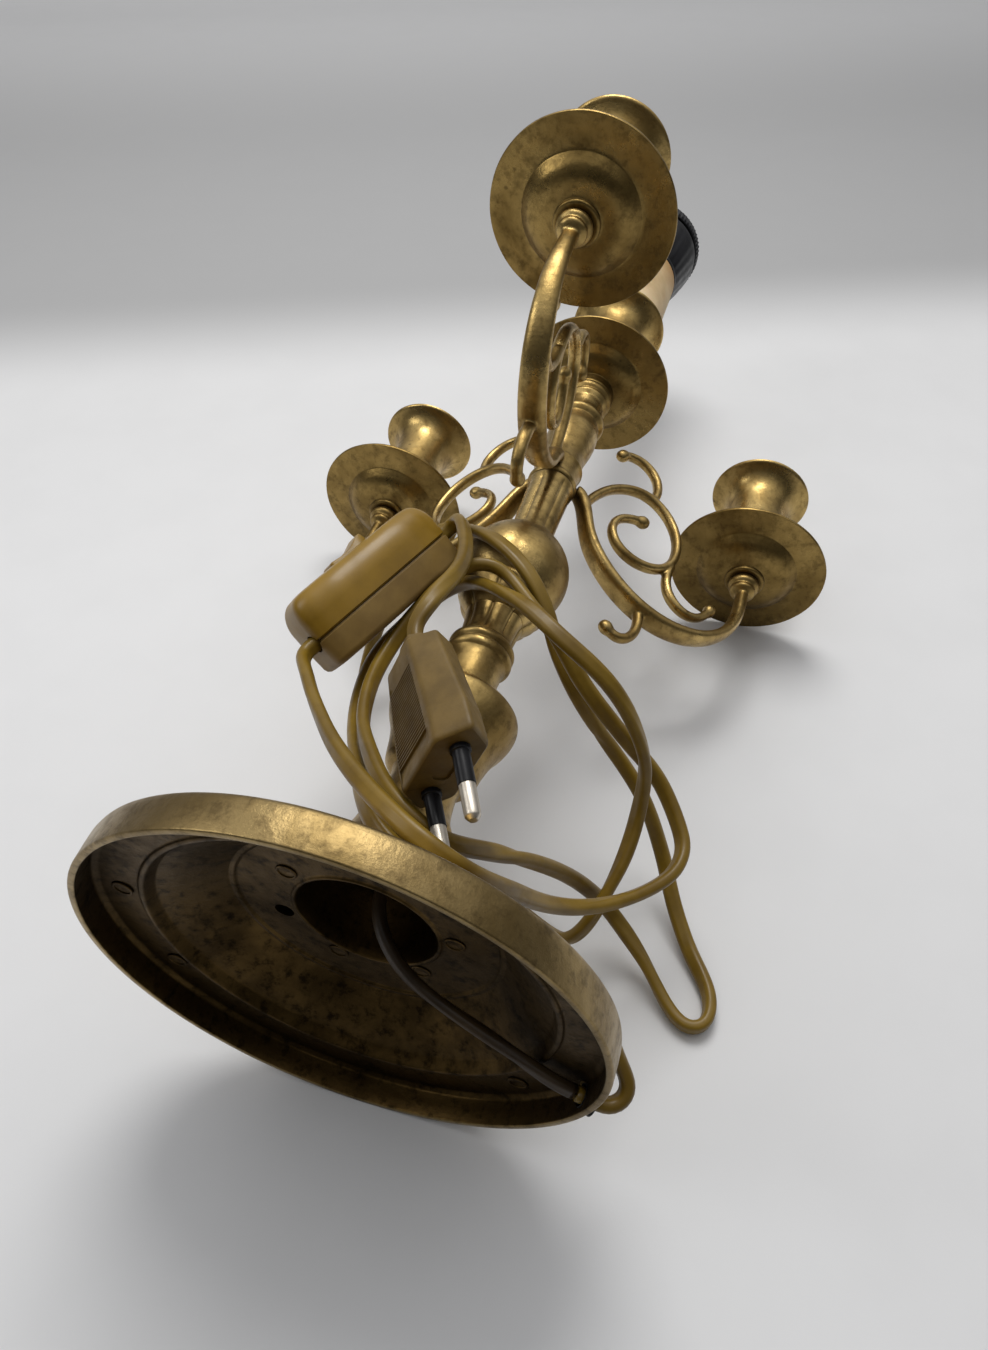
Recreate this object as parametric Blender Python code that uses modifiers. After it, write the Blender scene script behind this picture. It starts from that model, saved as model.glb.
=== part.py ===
# Tabletop candelabra wired as a lamp, lying on its side.
# Units are metres in the file, the tables below are in millimetres.
# Local frame: +Z runs up the column from the open edge of the base,
# arm A points to +Y, arm B to 210 degrees and arm C to 330 degrees.
# World frame: the object rests on the base rim and the rims of pans B and C.
import bpy
import bmesh
import math
import numpy as np
from mathutils import Matrix, Vector

for ob in list(bpy.data.objects):
    bpy.data.objects.remove(ob, do_unlink=True)

MM = 0.001

# ---------------------------------------------------------------- dimensions
BASE_R = 65.0            # radius of the base at its open edge
TILT = math.atan2(7.6, 223.6)   # rim of base and rims of two pans touch the table
SHIFT_X = -204.5         # puts the middle of the length over the origin
SHIFT_Z = 0.03           # lifts the lowest rim to the table
ROD_R = 4.8              # threaded tube through the column
ROD_BORE = 3.0
STACK_GAP = 0.05         # between stacked turned pieces
ARM_ANGLES = {"a": 90.0, "b": 210.0, "c": 330.0}
ARM_REACH = 85.5         # column axis to pan axis
ARM_PAN_Z = 224.3        # rim plane of the arm pans
PAN_R = 29.9
CENTRE_PAN_Z = 268.8     # rim plane of the centre pan
CUP_H = 48.0             # lip of a cup above the rim plane of its pan
CORD_R = 2.25            # mains lead, tube of equal section
LEAD_R = 1.8             # inner lead
EXIT_ANGLE = 202.0       # where the lead leaves the base rim
EXIT_Z = 4.5
HOLE_R = 3.1            # clear hole for the grommet

# ------------------------------------------------------------------ helpers
col = bpy.data.collections.new("candelabra")
bpy.context.scene.collection.children.link(col)
aux = bpy.data.collections.new("cutters")
bpy.context.scene.collection.children.link(aux)

ct, st = math.cos(TILT), math.sin(TILT)
WORLD = Matrix(((0, -st, ct, SHIFT_X * MM), (1, 0, 0, 0.0),
                (0, ct, st, (BASE_R * ct + SHIFT_Z) * MM), (0, 0, 0, 1)))


def mat(name, rgb, metallic, rough):
    m = bpy.data.materials.new(name)
    m.use_nodes = True
    p = m.node_tree.nodes["Principled BSDF"]
    p.inputs["Base Color"].default_value = (rgb[0], rgb[1], rgb[2], 1)
    p.inputs["Metallic"].default_value = metallic
    p.inputs["Roughness"].default_value = rough
    return m


LOOKS = {"brass": ((0.36, 0.25, 0.09), 1.0, 0.35),
         "dark_brass": ((0.12, 0.08, 0.04), 1.0, 0.5),
         "steel": ((0.5, 0.48, 0.42), 1.0, 0.35),
         "black": ((0.02, 0.02, 0.02), 0.0, 0.4),
         "cream": ((0.62, 0.52, 0.38), 0.0, 0.6),
         "ceramic": ((0.75, 0.73, 0.68), 0.0, 0.4),
         "cord": ((0.2, 0.13, 0.035), 0.0, 0.5),
         "darkcord": ((0.05, 0.03, 0.02), 0.0, 0.5),
         "plastic": ((0.26, 0.17, 0.05), 0.0, 0.4)}


def add(name, mesh, world, look, coll=None):
    ob = bpy.data.objects.new(name, mesh)
    (coll or col).objects.link(ob)
    ob.matrix_world = world
    if look:
        mesh.materials.clear()
        mesh.materials.append(mat(name, *LOOKS[look]))
    return ob


def smooth(mesh):
    for p in mesh.polygons:
        p.use_smooth = True


def turned(name, prof, world, look, steps=24, closed=False, coll=None):
    """Profile of (r, z) in mm, outer side top to bottom, turned about Z."""
    me = bpy.data.meshes.new(name)
    vs = [(r * MM, 0.0, z * MM) for r, z in prof]
    es = [(i, i + 1) for i in range(len(vs) - 1)]
    if closed:
        es.append((len(vs) - 1, 0))
    me.from_pydata(vs, es, [])
    ob = add(name, me, world, look, coll)
    m = ob.modifiers.new("turn", "SCREW")
    m.steps = steps
    m.render_steps = steps
    m.use_merge_vertices = True
    m.merge_threshold = 0.0001
    m.use_smooth_shade = True
    return ob


def cutter(ob):
    ob.hide_render = True
    ob.display_type = "WIRE"
    return ob


def boolean(ob, other, op="DIFFERENCE"):
    m = ob.modifiers.new("bool", "BOOLEAN")
    m.operation = op
    m.solver = "EXACT"
    m.object = other


def box_mesh(name, sx, sy, sz, centre=(0, 0, 0)):
    bm = bmesh.new()
    bmesh.ops.create_cube(bm, size=1.0)
    for v in bm.verts:
        v.co = Vector((v.co.x * sx + centre[0], v.co.y * sy + centre[1], v.co.z * sz + centre[2])) * MM
    me = bpy.data.meshes.new(name)
    bm.to_mesh(me)
    bm.free()
    return me


def cyl_mesh(name, r, depth, seg=20, r2=None):
    """Closed cylinder along local Z, centred."""
    bm = bmesh.new()
    bmesh.ops.create_cone(bm, cap_ends=True, segments=seg, radius1=r * MM,
                          radius2=(r if r2 is None else r2) * MM, depth=depth * MM)
    me = bpy.data.meshes.new(name)
    bm.to_mesh(me)
    bm.free()
    return me


def loft(name, rings):
    """Closed body through rings of equal point count, in mm, ends capped."""
    bm = bmesh.new()
    vs = [[bm.verts.new(Vector(p) * MM) for p in ring] for ring in rings]
    n = len(vs[0])
    for a, b in zip(vs[:-1], vs[1:]):
        for i in range(n):
            j = (i + 1) % n
            bm.faces.new((a[i], a[j], b[j], b[i]))
    bm.faces.new(vs[0][::-1])
    bm.faces.new(vs[-1])
    bmesh.ops.recalc_face_normals(bm, faces=bm.faces[:])
    me = bpy.data.meshes.new(name)
    bm.to_mesh(me)
    bm.free()
    return me


def bspline(pts, n=8):
    p = np.array(pts, float)
    q = np.vstack([p[0], p[0], p, p[-1], p[-1]])
    out = []
    for i in range(1, len(q) - 2):
        for t in np.linspace(0, 1, n, endpoint=False):
            b0 = (1 - t) ** 3 / 6
            b1 = (3 * t ** 3 - 6 * t * t + 4) / 6
            b2 = (-3 * t ** 3 + 3 * t * t + 3 * t + 1) / 6
            b3 = t ** 3 / 6
            out.append(b0 * q[i - 1] + b1 * q[i] + b2 * q[i + 1] + b3 * q[i + 2])
    out.append(p[-1])
    return np.array(out)


def spread(q, count, bend=9.0):
    """Pick count points along q, closer together where the line bends."""
    seg = np.linalg.norm(np.diff(q, axis=0), axis=1)
    keep = np.concatenate([[True], seg > 1e-6])
    q = q[keep]
    seg = np.linalg.norm(np.diff(q, axis=0), axis=1)
    s = np.concatenate([[0], np.cumsum(seg)])
    fine = np.linspace(0, s[-1], 1500)
    c = np.stack([np.interp(fine, s, q[:, i]) for i in range(3)], 1)
    t = np.gradient(c, axis=0)
    t /= np.linalg.norm(t, axis=1)[:, None]
    k = np.linalg.norm(np.gradient(t, axis=0), axis=1) / (fine[1] - fine[0])
    k = np.convolve(np.pad(k, 12, mode="edge"), np.ones(25) / 25, "valid")
    w = np.concatenate([[0], np.cumsum(1 + bend * k[1:])])
    u = np.interp(np.linspace(0, w[-1], count), w, fine)
    return np.stack([np.interp(u, fine, c[:, i]) for i in range(3)], 1)


def tube(name, pts_mm, radius, world, look, res=2):
    cu = bpy.data.curves.new(name + "_c", "CURVE")
    cu.dimensions = "3D"
    cu.bevel_depth = radius * MM
    cu.bevel_resolution = res
    cu.use_fill_caps = True
    cu.render_resolution_u = 0
    sp = cu.splines.new("POLY")
    sp.points.add(len(pts_mm) - 1)
    for p, c in zip(sp.points, pts_mm):
        p.co = (c[0] * MM, c[1] * MM, c[2] * MM, 1)
    tmp = bpy.data.objects.new(name + "_c", cu)
    aux.objects.link(tmp)
    bpy.context.view_layer.update()
    me = bpy.data.meshes.new_from_object(tmp)
    bm = bmesh.new()
    bm.from_mesh(me)
    bmesh.ops.remove_doubles(bm, verts=bm.verts[:], dist=1e-6)
    bmesh.ops.recalc_face_normals(bm, faces=bm.faces[:])
    bm.to_mesh(me)
    bm.free()
    bpy.data.objects.remove(tmp)
    ob = add(name, me, world, look)
    smooth(me)
    return ob


def frame_at(centre_mm, x, y, z):
    m = Matrix.Identity(4)
    for i in range(3):
        m[i][0], m[i][1], m[i][2] = x[i], y[i], z[i]
        m[i][3] = centre_mm[i] * MM
    return m


def local_at(centre, ang_deg=0.0):
    """Frame in the upright local system, turned about Z."""
    return WORLD @ Matrix.Translation(Vector(centre) * MM) @ Matrix.Rotation(math.radians(ang_deg), 4, "Z")


# -------------------------------------------------------------------- base
BASE = [(12.4, 50), (14.5, 41), (17.7, 33), (19.6, 29.5), (20.4, 25.6), (31, 23.6), (36.5, 22.2),
        (44, 16.5), (50.6, 12.8), (52, 11.2), (62.6, 10.2), (64.8, 9.0), (65.2, 7.6), (65.0, 0), (63.2, 0),
        (63.3, 7.0), (61.8, 7.9), (52.2, 8.4), (51.3, 7.7), (49.4, 10.4), (42.5, 14.8), (35.2, 20.3),
        (33.0, 20.8), (18.4, 20.8), (17.6, 26), (16.2, 31), (12.6, 40), (11.8, 46.5), (5.2, 46.5), (5.2, 50)]
base = turned("base_dish", BASE, WORLD, "brass", steps=32, closed=True)
ea = math.radians(EXIT_ANGLE)
edir = Vector((math.cos(ea), math.sin(ea), 0))
hole = add("exit_hole", cyl_mesh("exit_hole", HOLE_R, 12, 16),
           WORLD @ Matrix.Translation((edir * 64 + Vector((0, 0, EXIT_Z))) * MM) @
           Matrix.Rotation(ea, 4, "Z") @ Matrix.Rotation(math.pi / 2, 4, "Y"), None, aux)
boolean(base, cutter(hole))
# sleeve with an outer flange that lines the exit hole
turned("exit_grommet", [(3.9, 66.5), (3.9, 65.7), (2.9, 65.7), (2.9, 62.9), (2.66, 62.9), (2.66, 66.5)],
       WORLD @ Matrix.Translation(Vector((0, 0, EXIT_Z)) * MM) @ Matrix.Rotation(ea, 4, "Z") @
       Matrix.Rotation(math.pi / 2, 4, "Y"), "black", steps=16, closed=True)

# ------------------------------------------------- clamping rod, nut, washer
turned("centre_rod", [(ROD_R, 361.0), (ROD_R, 34.0), (ROD_BORE, 34.0), (ROD_BORE, 361.0)],
       WORLD, "steel", steps=16, closed=True)
turned("base_washer", [(10.4, 46.4), (10.4, 45.0), (5.1, 45.0), (5.1, 46.4)], WORLD, "steel",
       steps=20, closed=True)
turned("base_nut", [(9.0, 44.9), (9.0, 40.4), (5.8, 40.4), (5.8, 44.9)], WORLD, "steel",
       steps=6, closed=True)

# -------------------------------------------------------- stacked turned parts
BORE = 5.05


def stacked(name, prof, look="brass", steps=20, bore=BORE):
    top, bot = prof[0][1] - STACK_GAP, prof[-1][1]
    p = [(prof[0][0], top)] + list(prof[1:]) + [(bore, bot), (bore, top)]
    return turned(name, p, WORLD, look, steps=steps, closed=True)


stacked("bell_flange", [(8.9, 97), (9.1, 94.5), (12.5, 92.2), (18.2, 90.4), (18.9, 88.6), (18.9, 84.6),
                        (17.4, 81.5), (14.8, 75.5), (13.4, 69.5), (12.8, 66.8), (9.9, 65.0), (9.5, 60),
                        (10.4, 54), (12.2, 50)])
stacked("bead_collar", [(8.6, 117), (9.6, 115.8), (10.2, 114.4), (9.5, 113.1), (10.4, 111.6),
                        (9.6, 109.8), (8.7, 107.5), (8.6, 102), (8.9, 97)], steps=16)
stacked("fluted_waist", [(9.4, 128), (8.6, 124), (8.4, 120), (8.6, 117)], steps=16)
ball = []
for k in range(7):
    a = math.radians(58 - k * 19.3)
    ball.append((17.9 * math.cos(a), 151 + 17.9 * math.sin(a)))
stacked("ball_knob", [(8.8, 168.4), (9.4, 167.6)] + ball + [(14.4, 137.2), (13.6, 133.4), (11.4, 130),
                                                              (9.4, 128)])
stacked("upper_shaft", [(8.0, 199), (8.4, 197.4), (7.7, 180), (7.5, 170), (8.3, 168.4)], steps=16)
stacked("arm_hub", [(8.3, 211), (9.0, 209.6), (8.4, 207.6), (8.4, 201.6), (9.0, 200.2), (8.3, 199)], steps=16)
stacked("top_neck", [(9.2, 258), (8.0, 255.6), (8.6, 253.8), (7.4, 251.8), (6.9, 247), (7.6, 243.4),
                     (9.8, 241.6), (9.8, 239.6), (8.4, 238.4), (9.4, 232), (9.2, 226), (7.9, 217), (8.3, 211)],
        steps=16)

# --------------------------------------------------------------- pans, cups
# rim plane at z = 0: flat rim, then a shallow bowl that bulges downwards


def pan_profile(bore, foot_r, foot_z):
    return [(PAN_R, 1.0), (PAN_R, 0.0), (19.6, -0.3), (17.4, -2.4), (13.0, -4.6), (foot_r, -5.6),
            (foot_r - 0.6, foot_z), (bore, foot_z), (bore, -4.0), (10.0, -4.0), (13.2, -3.2), (16.8, -1.0),
            (18.8, 0.9)]


def cup_profile(bore):
    # floor at z = -3.8, cylinder with candle bore, wide curved lip
    return [(19.8, CUP_H), (19.3, 46.9), (16.4, 45.2), (13.4, 42.8), (11.7, 39.2), (11.2, 34.0), (11.2, -1.4),
            (9.4, -3.95), (bore, -3.95), (bore, -1.6), (10.2, -1.6), (10.2, 34.2), (10.7, 39.6), (12.6, 43.8),
            (15.8, 46.4), (18.4, CUP_H)]


STUD_R = 2.4
for k, ang in ARM_ANGLES.items():
    a = math.radians(ang)
    cx, cy = ARM_REACH * math.cos(a), ARM_REACH * math.sin(a)
    at = local_at((cx, cy, ARM_PAN_Z))
    turned("arm_pan_" + k, pan_profile(STUD_R + 0.15, 7.9, -7.2), at, "brass", steps=24, closed=True)
    turned("arm_cup_" + k, cup_profile(STUD_R + 0.15), at, "brass", steps=16, closed=True)
    turned("cup_nut_" + k, [(4.6, 1.2), (4.6, -1.55), (3.0, -1.55), (3.0, 1.2)], at, "steel", steps=6, closed=True)

top = local_at((0, 0, CENTRE_PAN_Z))
turned("centre_pan", pan_profile(BORE, 9.2, -10.7), top, "brass", steps=24, closed=True)
turned("centre_cup", cup_profile(BORE), top, "brass", steps=20, closed=True)

# ------------------------------------------------------------------- arms


def sweep(name, path, n=8, cap=True):
    """Rod in the plane of the arm: path of (rho, z, half in plane, half across)."""
    pts = bspline([(p[0], 0, p[1]) for p in path], 2)
    ab = bspline([(p[2], p[3], 0) for p in path], 2)
    rings = []
    for i in range(len(pts)):
        t = pts[min(i + 1, len(pts) - 1)] - pts[max(i - 1, 0)]
        t /= np.linalg.norm(t)
        nrm = np.array([-t[2], 0, t[0]])
        rings.append([tuple(pts[i] + ab[i][0] * math.cos(f) * nrm + np.array([0, ab[i][1] * math.sin(f), 0]))
                      for f in [2 * math.pi * j / n for j in range(n)]])
    return loft(name, rings)


def ball_mesh(name, rho, z, r):
    bm = bmesh.new()
    bmesh.ops.create_uvsphere(bm, u_segments=8, v_segments=5, radius=r * MM)
    bmesh.ops.translate(bm, verts=bm.verts[:], vec=Vector((rho, 0, z)) * MM)
    me = bpy.data.meshes.new(name)
    bm.to_mesh(me)
    bm.free()
    return me


MAIN = [(8.8, 204.9, 2.5, 3.0), (10.8, 204.8, 2.5, 3.2), (14.4, 200.0, 2.4, 3.6), (17.4, 191.0, 2.2, 4.0),
        (21.2, 184.0, 2.2, 4.3), (29.0, 176.4, 2.3, 4.5), (40.0, 170.4, 2.4, 4.6), (53.0, 168.2, 2.5, 4.6),
        (66.0, 171.0, 2.4, 4.4), (77.0, 178.6, 2.3, 4.0), (84.0, 190.0, 2.2, 3.4), (85.5, 202.0, 2.1, 2.9),
        (85.5, 213.5, 2.2, 2.6)]
RING = [(13.6, 200.0, 1.8, 2.1), (15.6, 208.0, 1.8, 2.2), (21.0, 218.6, 1.8, 2.3), (29.5, 226.0, 1.8, 2.3),
        (37.6, 228.2, 1.8, 2.3), (46.5, 225.0, 1.8, 2.3), (53.0, 217.0, 1.8, 2.3), (54.8, 207.0, 1.8, 2.3),
        (52.6, 197.6, 1.8, 2.3), (46.0, 191.8, 1.8, 2.3), (37.5, 190.0, 1.8, 2.3), (30.0, 192.6, 1.8, 2.2),
        (26.2, 199.0, 1.7, 2.1), (27.4, 206.0, 1.7, 2.0), (32.6, 210.6, 1.6, 1.9), (37.4, 212.4, 1.7, 1.9)]
TAIL = [(53.6, 200.0, 1.8, 2.1), (52.4, 191.0, 1.8, 2.2), (56.0, 184.0, 1.8, 2.2), (63.0, 180.8, 1.7, 2.1),
        (69.8, 183.4, 1.6, 1.9), (73.1, 190.6, 1.7, 1.9)]
CURL_UP = [(39.2, 227.0, 1.8, 2.1), (40.6, 234.0, 1.8, 2.2), (37.6, 241.6, 1.8, 2.1), (30.6, 245.0, 1.7, 2.0),
           (24.0, 243.0, 1.6, 1.9), (21.4, 240.6, 1.7, 1.9)]
CURL_DOWN = [(45.4, 170.0, 1.8, 2.1), (47.4, 163.0, 1.8, 2.2), (46.0, 155.6, 1.8, 2.1), (41.4, 151.6, 1.7, 2.0),
             (36.2, 153.4, 1.7, 1.9)]
BALLS = [(37.4, 212.2, 2.6), (73.1, 191.2, 2.6), (21.4, 240.4, 2.6), (35.9, 153.9, 2.6)]

arm_src = add("arm_source", sweep("arm_source", MAIN, 8), Matrix.Identity(4), None, aux)
parts = [add("arm_u%d" % i, sweep("arm_u%d" % i, p, 6), Matrix.Identity(4), None, aux)
         for i, p in enumerate((RING, TAIL, CURL_UP, CURL_DOWN))]
parts += [add("arm_ball%d" % i, ball_mesh("arm_ball%d" % i, *b), Matrix.Identity(4), None, aux)
          for i, b in enumerate(BALLS)]
# seat collar under the pan and threaded stud through pan and cup
COLLAR = [(5.6, 216.9), (6.0, 215.9), (5.9, 214.2), (4.7, 213.6), (5.0, 212.8), (4.8, 211.4), (3.0, 210.4)]
collar = turned("arm_collar", [(0, 216.9)] + COLLAR + [(0, 210.4)],
                Matrix.Translation((ARM_REACH * MM, 0, 0)), None, steps=12, coll=aux)
stud = turned("arm_stud", [(0, 226.4), (STUD_R, 226.4), (STUD_R, 212.6), (0, 212.6)],
              Matrix.Translation((ARM_REACH * MM, 0, 0)), None, steps=12, coll=aux)
for p in parts + [collar, stud]:
    boolean(arm_src, cutter(p), "UNION")
cutter(arm_src)
bpy.context.view_layer.update()
dg = bpy.context.evaluated_depsgraph_get()
for k, ang in ARM_ANGLES.items():
    me = bpy.data.meshes.new_from_object(arm_src.evaluated_get(dg))
    me.name = "arm_" + k
    ob = add("arm_" + k, me, WORLD @ Matrix.Rotation(math.radians(ang), 4, "Z"), "brass")
    smooth(me)
for p in [arm_src, collar, stud] + parts:
    bpy.data.objects.remove(p, do_unlink=True)

# ------------------------------------------------- candle sleeve, lampholder
turned("candle_sleeve", [(16.5, 363.0), (16.5, 315.85), (15.4, 315.85), (15.4, 363.0)], WORLD, "cream",
       steps=28, closed=True)
# insulating body: spigot in the sleeve, seated on the end of the rod
turned("lampholder_body", [(20.8, 391.4), (21.6, 390.6), (21.4, 386.0), (19.4, 375.0), (16.9, 365.6), (16.7, 363.1), (15.1, 363.1), (15.1, 353.0),
                           (5.0, 353.0), (5.0, 366.0), (3.2, 366.0), (3.2, 372.0), (14.3, 372.0), (14.3, 391.4)],
       WORLD, "black", steps=28, closed=True)
# outer threaded shell pressed in the body, open at its mouth
turned("lampholder_shell", [(17.6, 410.8), (17.6, 391.6), (13.9, 391.6), (13.9, 376.0), (12.9, 376.0),
                            (12.9, 392.6), (16.4, 392.6), (16.4, 410.8)], WORLD, "black", steps=28, closed=True)
ring = turned("shade_ring", [(20.6, 399.2), (22.6, 398.6), (22.6, 393.6), (21.8, 392.4), (18.1, 392.4), (18.1, 399.2)],
              WORLD, "black", steps=32, closed=True)
turned("socket_screw_shell", [(12.6, 406.0), (12.6, 376.4), (11.8, 376.4), (11.8, 406.0)], WORLD, "brass",
       steps=24, closed=True)
turned("contact_block", [(0, 378.4), (5.0, 378.4), (6.0, 376.2),
       (12.7, 375.9), (12.7, 372.3), (0, 372.3)], WORLD, "ceramic", steps=20)
turned("centre_contact", [(0, 382.6), (3.0, 381.6), (3.4, 378.6), (0, 378.6)], WORLD, "steel", steps=14)

# -------------------------------------------------------------------- switch
# in-line rocker switch: two half shells on a level seam
E1 = Vector((0.9214, -0.3756, 0.1001)).normalized()      # along the cord
N1 = Vector((0.2354, 0.7442, 0.6251))
N1 = (N1 - N1.dot(E1) * E1).normalized()                  # towards the top shell
W1 = N1.cross(E1)
SW_C = Vector((119.0 + SHIFT_X, 34.4, 80.9 + SHIFT_Z))
SW = frame_at(SW_C, E1, W1, N1)
SW_HALF, SW_WIDE, SW_TOP, SW_BOT = 28.0, 12.0, 14.0, -9.6


def plan(scale_in, z, taper=0.0):
    """Outline of the switch: straight sides, drawn in at both ends."""
    l, w = SW_HALF - scale_in, SW_WIDE - scale_in
    pts = [(-l, -w * 0.62), (-l * 0.86, -w * 0.86), (-l * 0.56, -w), (l * 0.56, -w), (l * 0.86, -w * 0.86), (l, -w * 0.62),
           (l, w * 0.62), (l * 0.86, w * 0.86), (l * 0.56, w), (-l * 0.56, w), (-l * 0.86, w * 0.86), (-l, w * 0.62)]
    return [(x, y, z) for x, y in pts]


low = add("switch_lower_shell", loft("switch_lower_shell", [plan(1.6, SW_BOT), plan(0.5, SW_BOT + 1.4),
                                                           plan(0.0, -0.15)]), SW, "plastic")
topsh = add("switch_top_shell", loft("switch_top_shell", [plan(0.0, 0.15), plan(0.0, 6.5), plan(1.3, 10.4),
                                                         plan(4.6, SW_TOP)]), SW, "plastic")
cav_lo = add("switch_cav_lower", loft("switch_cav_lower", [plan(2.2, SW_BOT + 1.8), plan(2.0, 3.0)]), SW, None, aux)
cav_hi = add("switch_cav_top", loft("switch_cav_top", [plan(2.0, -3.0), plan(2.2, 8.2), plan(5.2, 11.6)]), SW, None, aux)
boolean(low, cutter(cav_lo))
boolean(topsh, cutter(cav_hi))
# rocker well and the notches where the cord enters the ends
RK_L, RK_W = 15.0, 8.0
well = add("switch_well", box_mesh("switch_well", RK_L + 0.9, RK_W + 0.9, 20, (0, 0, 8)), SW, None, aux)
boolean(topsh, cutter(well))
ENTRY_A, ENTRY_B = (-SW_HALF, -3.2), (SW_HALF, -2.0)
for i, (ex, ey) in enumerate((ENTRY_A, ENTRY_B)):
    c = add("switch_notch%d" % i, cyl_mesh("switch_notch%d" % i, 3.1, 9, 16),
            SW @ Matrix.Translation(Vector((ex, ey, 0)) * MM) @ Matrix.Rotation(math.pi / 2, 4, "Y"), None, aux)
    cutter(c)
    boolean(low, c)
    boolean(topsh, c)
# rocker: round back about its pin axis, shallow V on top
RK_Z = 9.8
RK_LEAN = 8.0            # at rest the rocker leans this far to one side, degrees
rk = []
for k in range(13):
    a = math.radians(202 + k * (338 - 202) / 12)
    rk.append((7.2 * math.cos(a), 7.2 * math.sin(a) * 0.86))
rk += [(7.3, 4.0), (6.6, 6.2), (0.0, 5.0), (-6.6, 6.2), (-7.3, 4.0)]
rockm = loft("switch_rocker", [[(x, -RK_W / 2, y) for x, y in rk], [(x, RK_W / 2, y) for x, y in rk]])
rocker = add("switch_rocker", rockm, SW @ Matrix.Translation(Vector((0, 0, RK_Z)) * MM) @
             Matrix.Rotation(math.radians(-RK_LEAN), 4, "Y"), "plastic")

# ---------------------------------------------------------------------- plug
# flat two-pin mains plug: six-sided face, body drawn in to the cord
PZ = Vector((-0.882, -0.461, -0.101)).normalized()       # the pins point this way
PX = Vector((0.092, -0.378, 0.921))
PX = (PX - PX.dot(PZ) * PZ).normalized()                  # from pin to pin
PY = PZ.cross(PX)
PL_C = Vector((46.2 + SHIFT_X, -12.6, 98.3 + SHIFT_Z))
PL = frame_at(PL_C, PX, PY, PZ)
FACE = [(17.6, 0.0), (11.0, 6.9), (-11.0, 6.9), (-17.6, 0.0), (-11.0, -6.9), (11.0, -6.9)]


def face_ring(sx, sy, z, dx=0.0):
    return [(x * sx + dx, y * sy, z) for x, y in FACE]


plug = add("plug_body", loft("plug_body", [face_ring(0.965, 0.92, 0.0), face_ring(1.0, 1.0, -1.2), face_ring(0.99, 1.0, -9.0, -0.5),
                                          face_ring(0.86, 0.96, -21.0, -1.5), face_ring(0.745, 0.93, -31.0, -2.2),
                                          face_ring(0.7, 0.9, -35.0, -2.5), face_ring(0.6, 0.78, -36.4, -2.6),
                                          face_ring(0.32, 0.66, -36.8, -2.6), face_ring(0.25, 0.5, -41.2, -2.6)]), PL, "plastic")
for i, s in enumerate((1, -1)):
    tilt = Matrix.Rotation(-s * math.radians(1.35), 4, "Y")
    pin_at = PL @ Matrix.Translation(Vector((s * 9.3, 0, 0)) * MM) @ tilt
    turned("plug_pin_%d" % (i + 1), [(0, 19.0), (1.1, 19.0), (1.9, 17.8), (2.0, 16.4), (2.0, -4.0), (0, -4.0)],
           pin_at, "steel", steps=14)
    pc = turned("pin_hole_%d" % (i + 1), [(0, 6.0), (2.1, 6.0), (2.1, -4.2), (0, -4.2)], pin_at, None, steps=14, coll=aux)
    boolean(plug, cutter(pc))

# --------------------------------------------------------------------- cords
# inner lead: lampholder, down the bore of the rod, out under the base
INNER = [(0, 0, 371.5), (0, 0, 300), (0, 0, 240), (0, 0, 180), (0, 0, 120), (0, 0, 70), (0, 0, 40), (0, 0, 32),
         (-1, -0.6, 25), (-5, -3, 19), (-10, -7.5, 15.5), (-16, -12, 13.5), (-25, -15.5, 11.5), (-36, -17, 8.6),
         (-46, -18.8, 5.8), (-51, -20.5, 4.7), (-55.0, -22.2, 4.5), (-56.6, -22.9, 4.5)]
inner = [INNER[0]] + [tuple(v) for v in spread(bspline(INNER[5:]), 22, 12.0)]
tube("inner_lead", inner, LEAD_R, WORLD, "darkcord")

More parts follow.
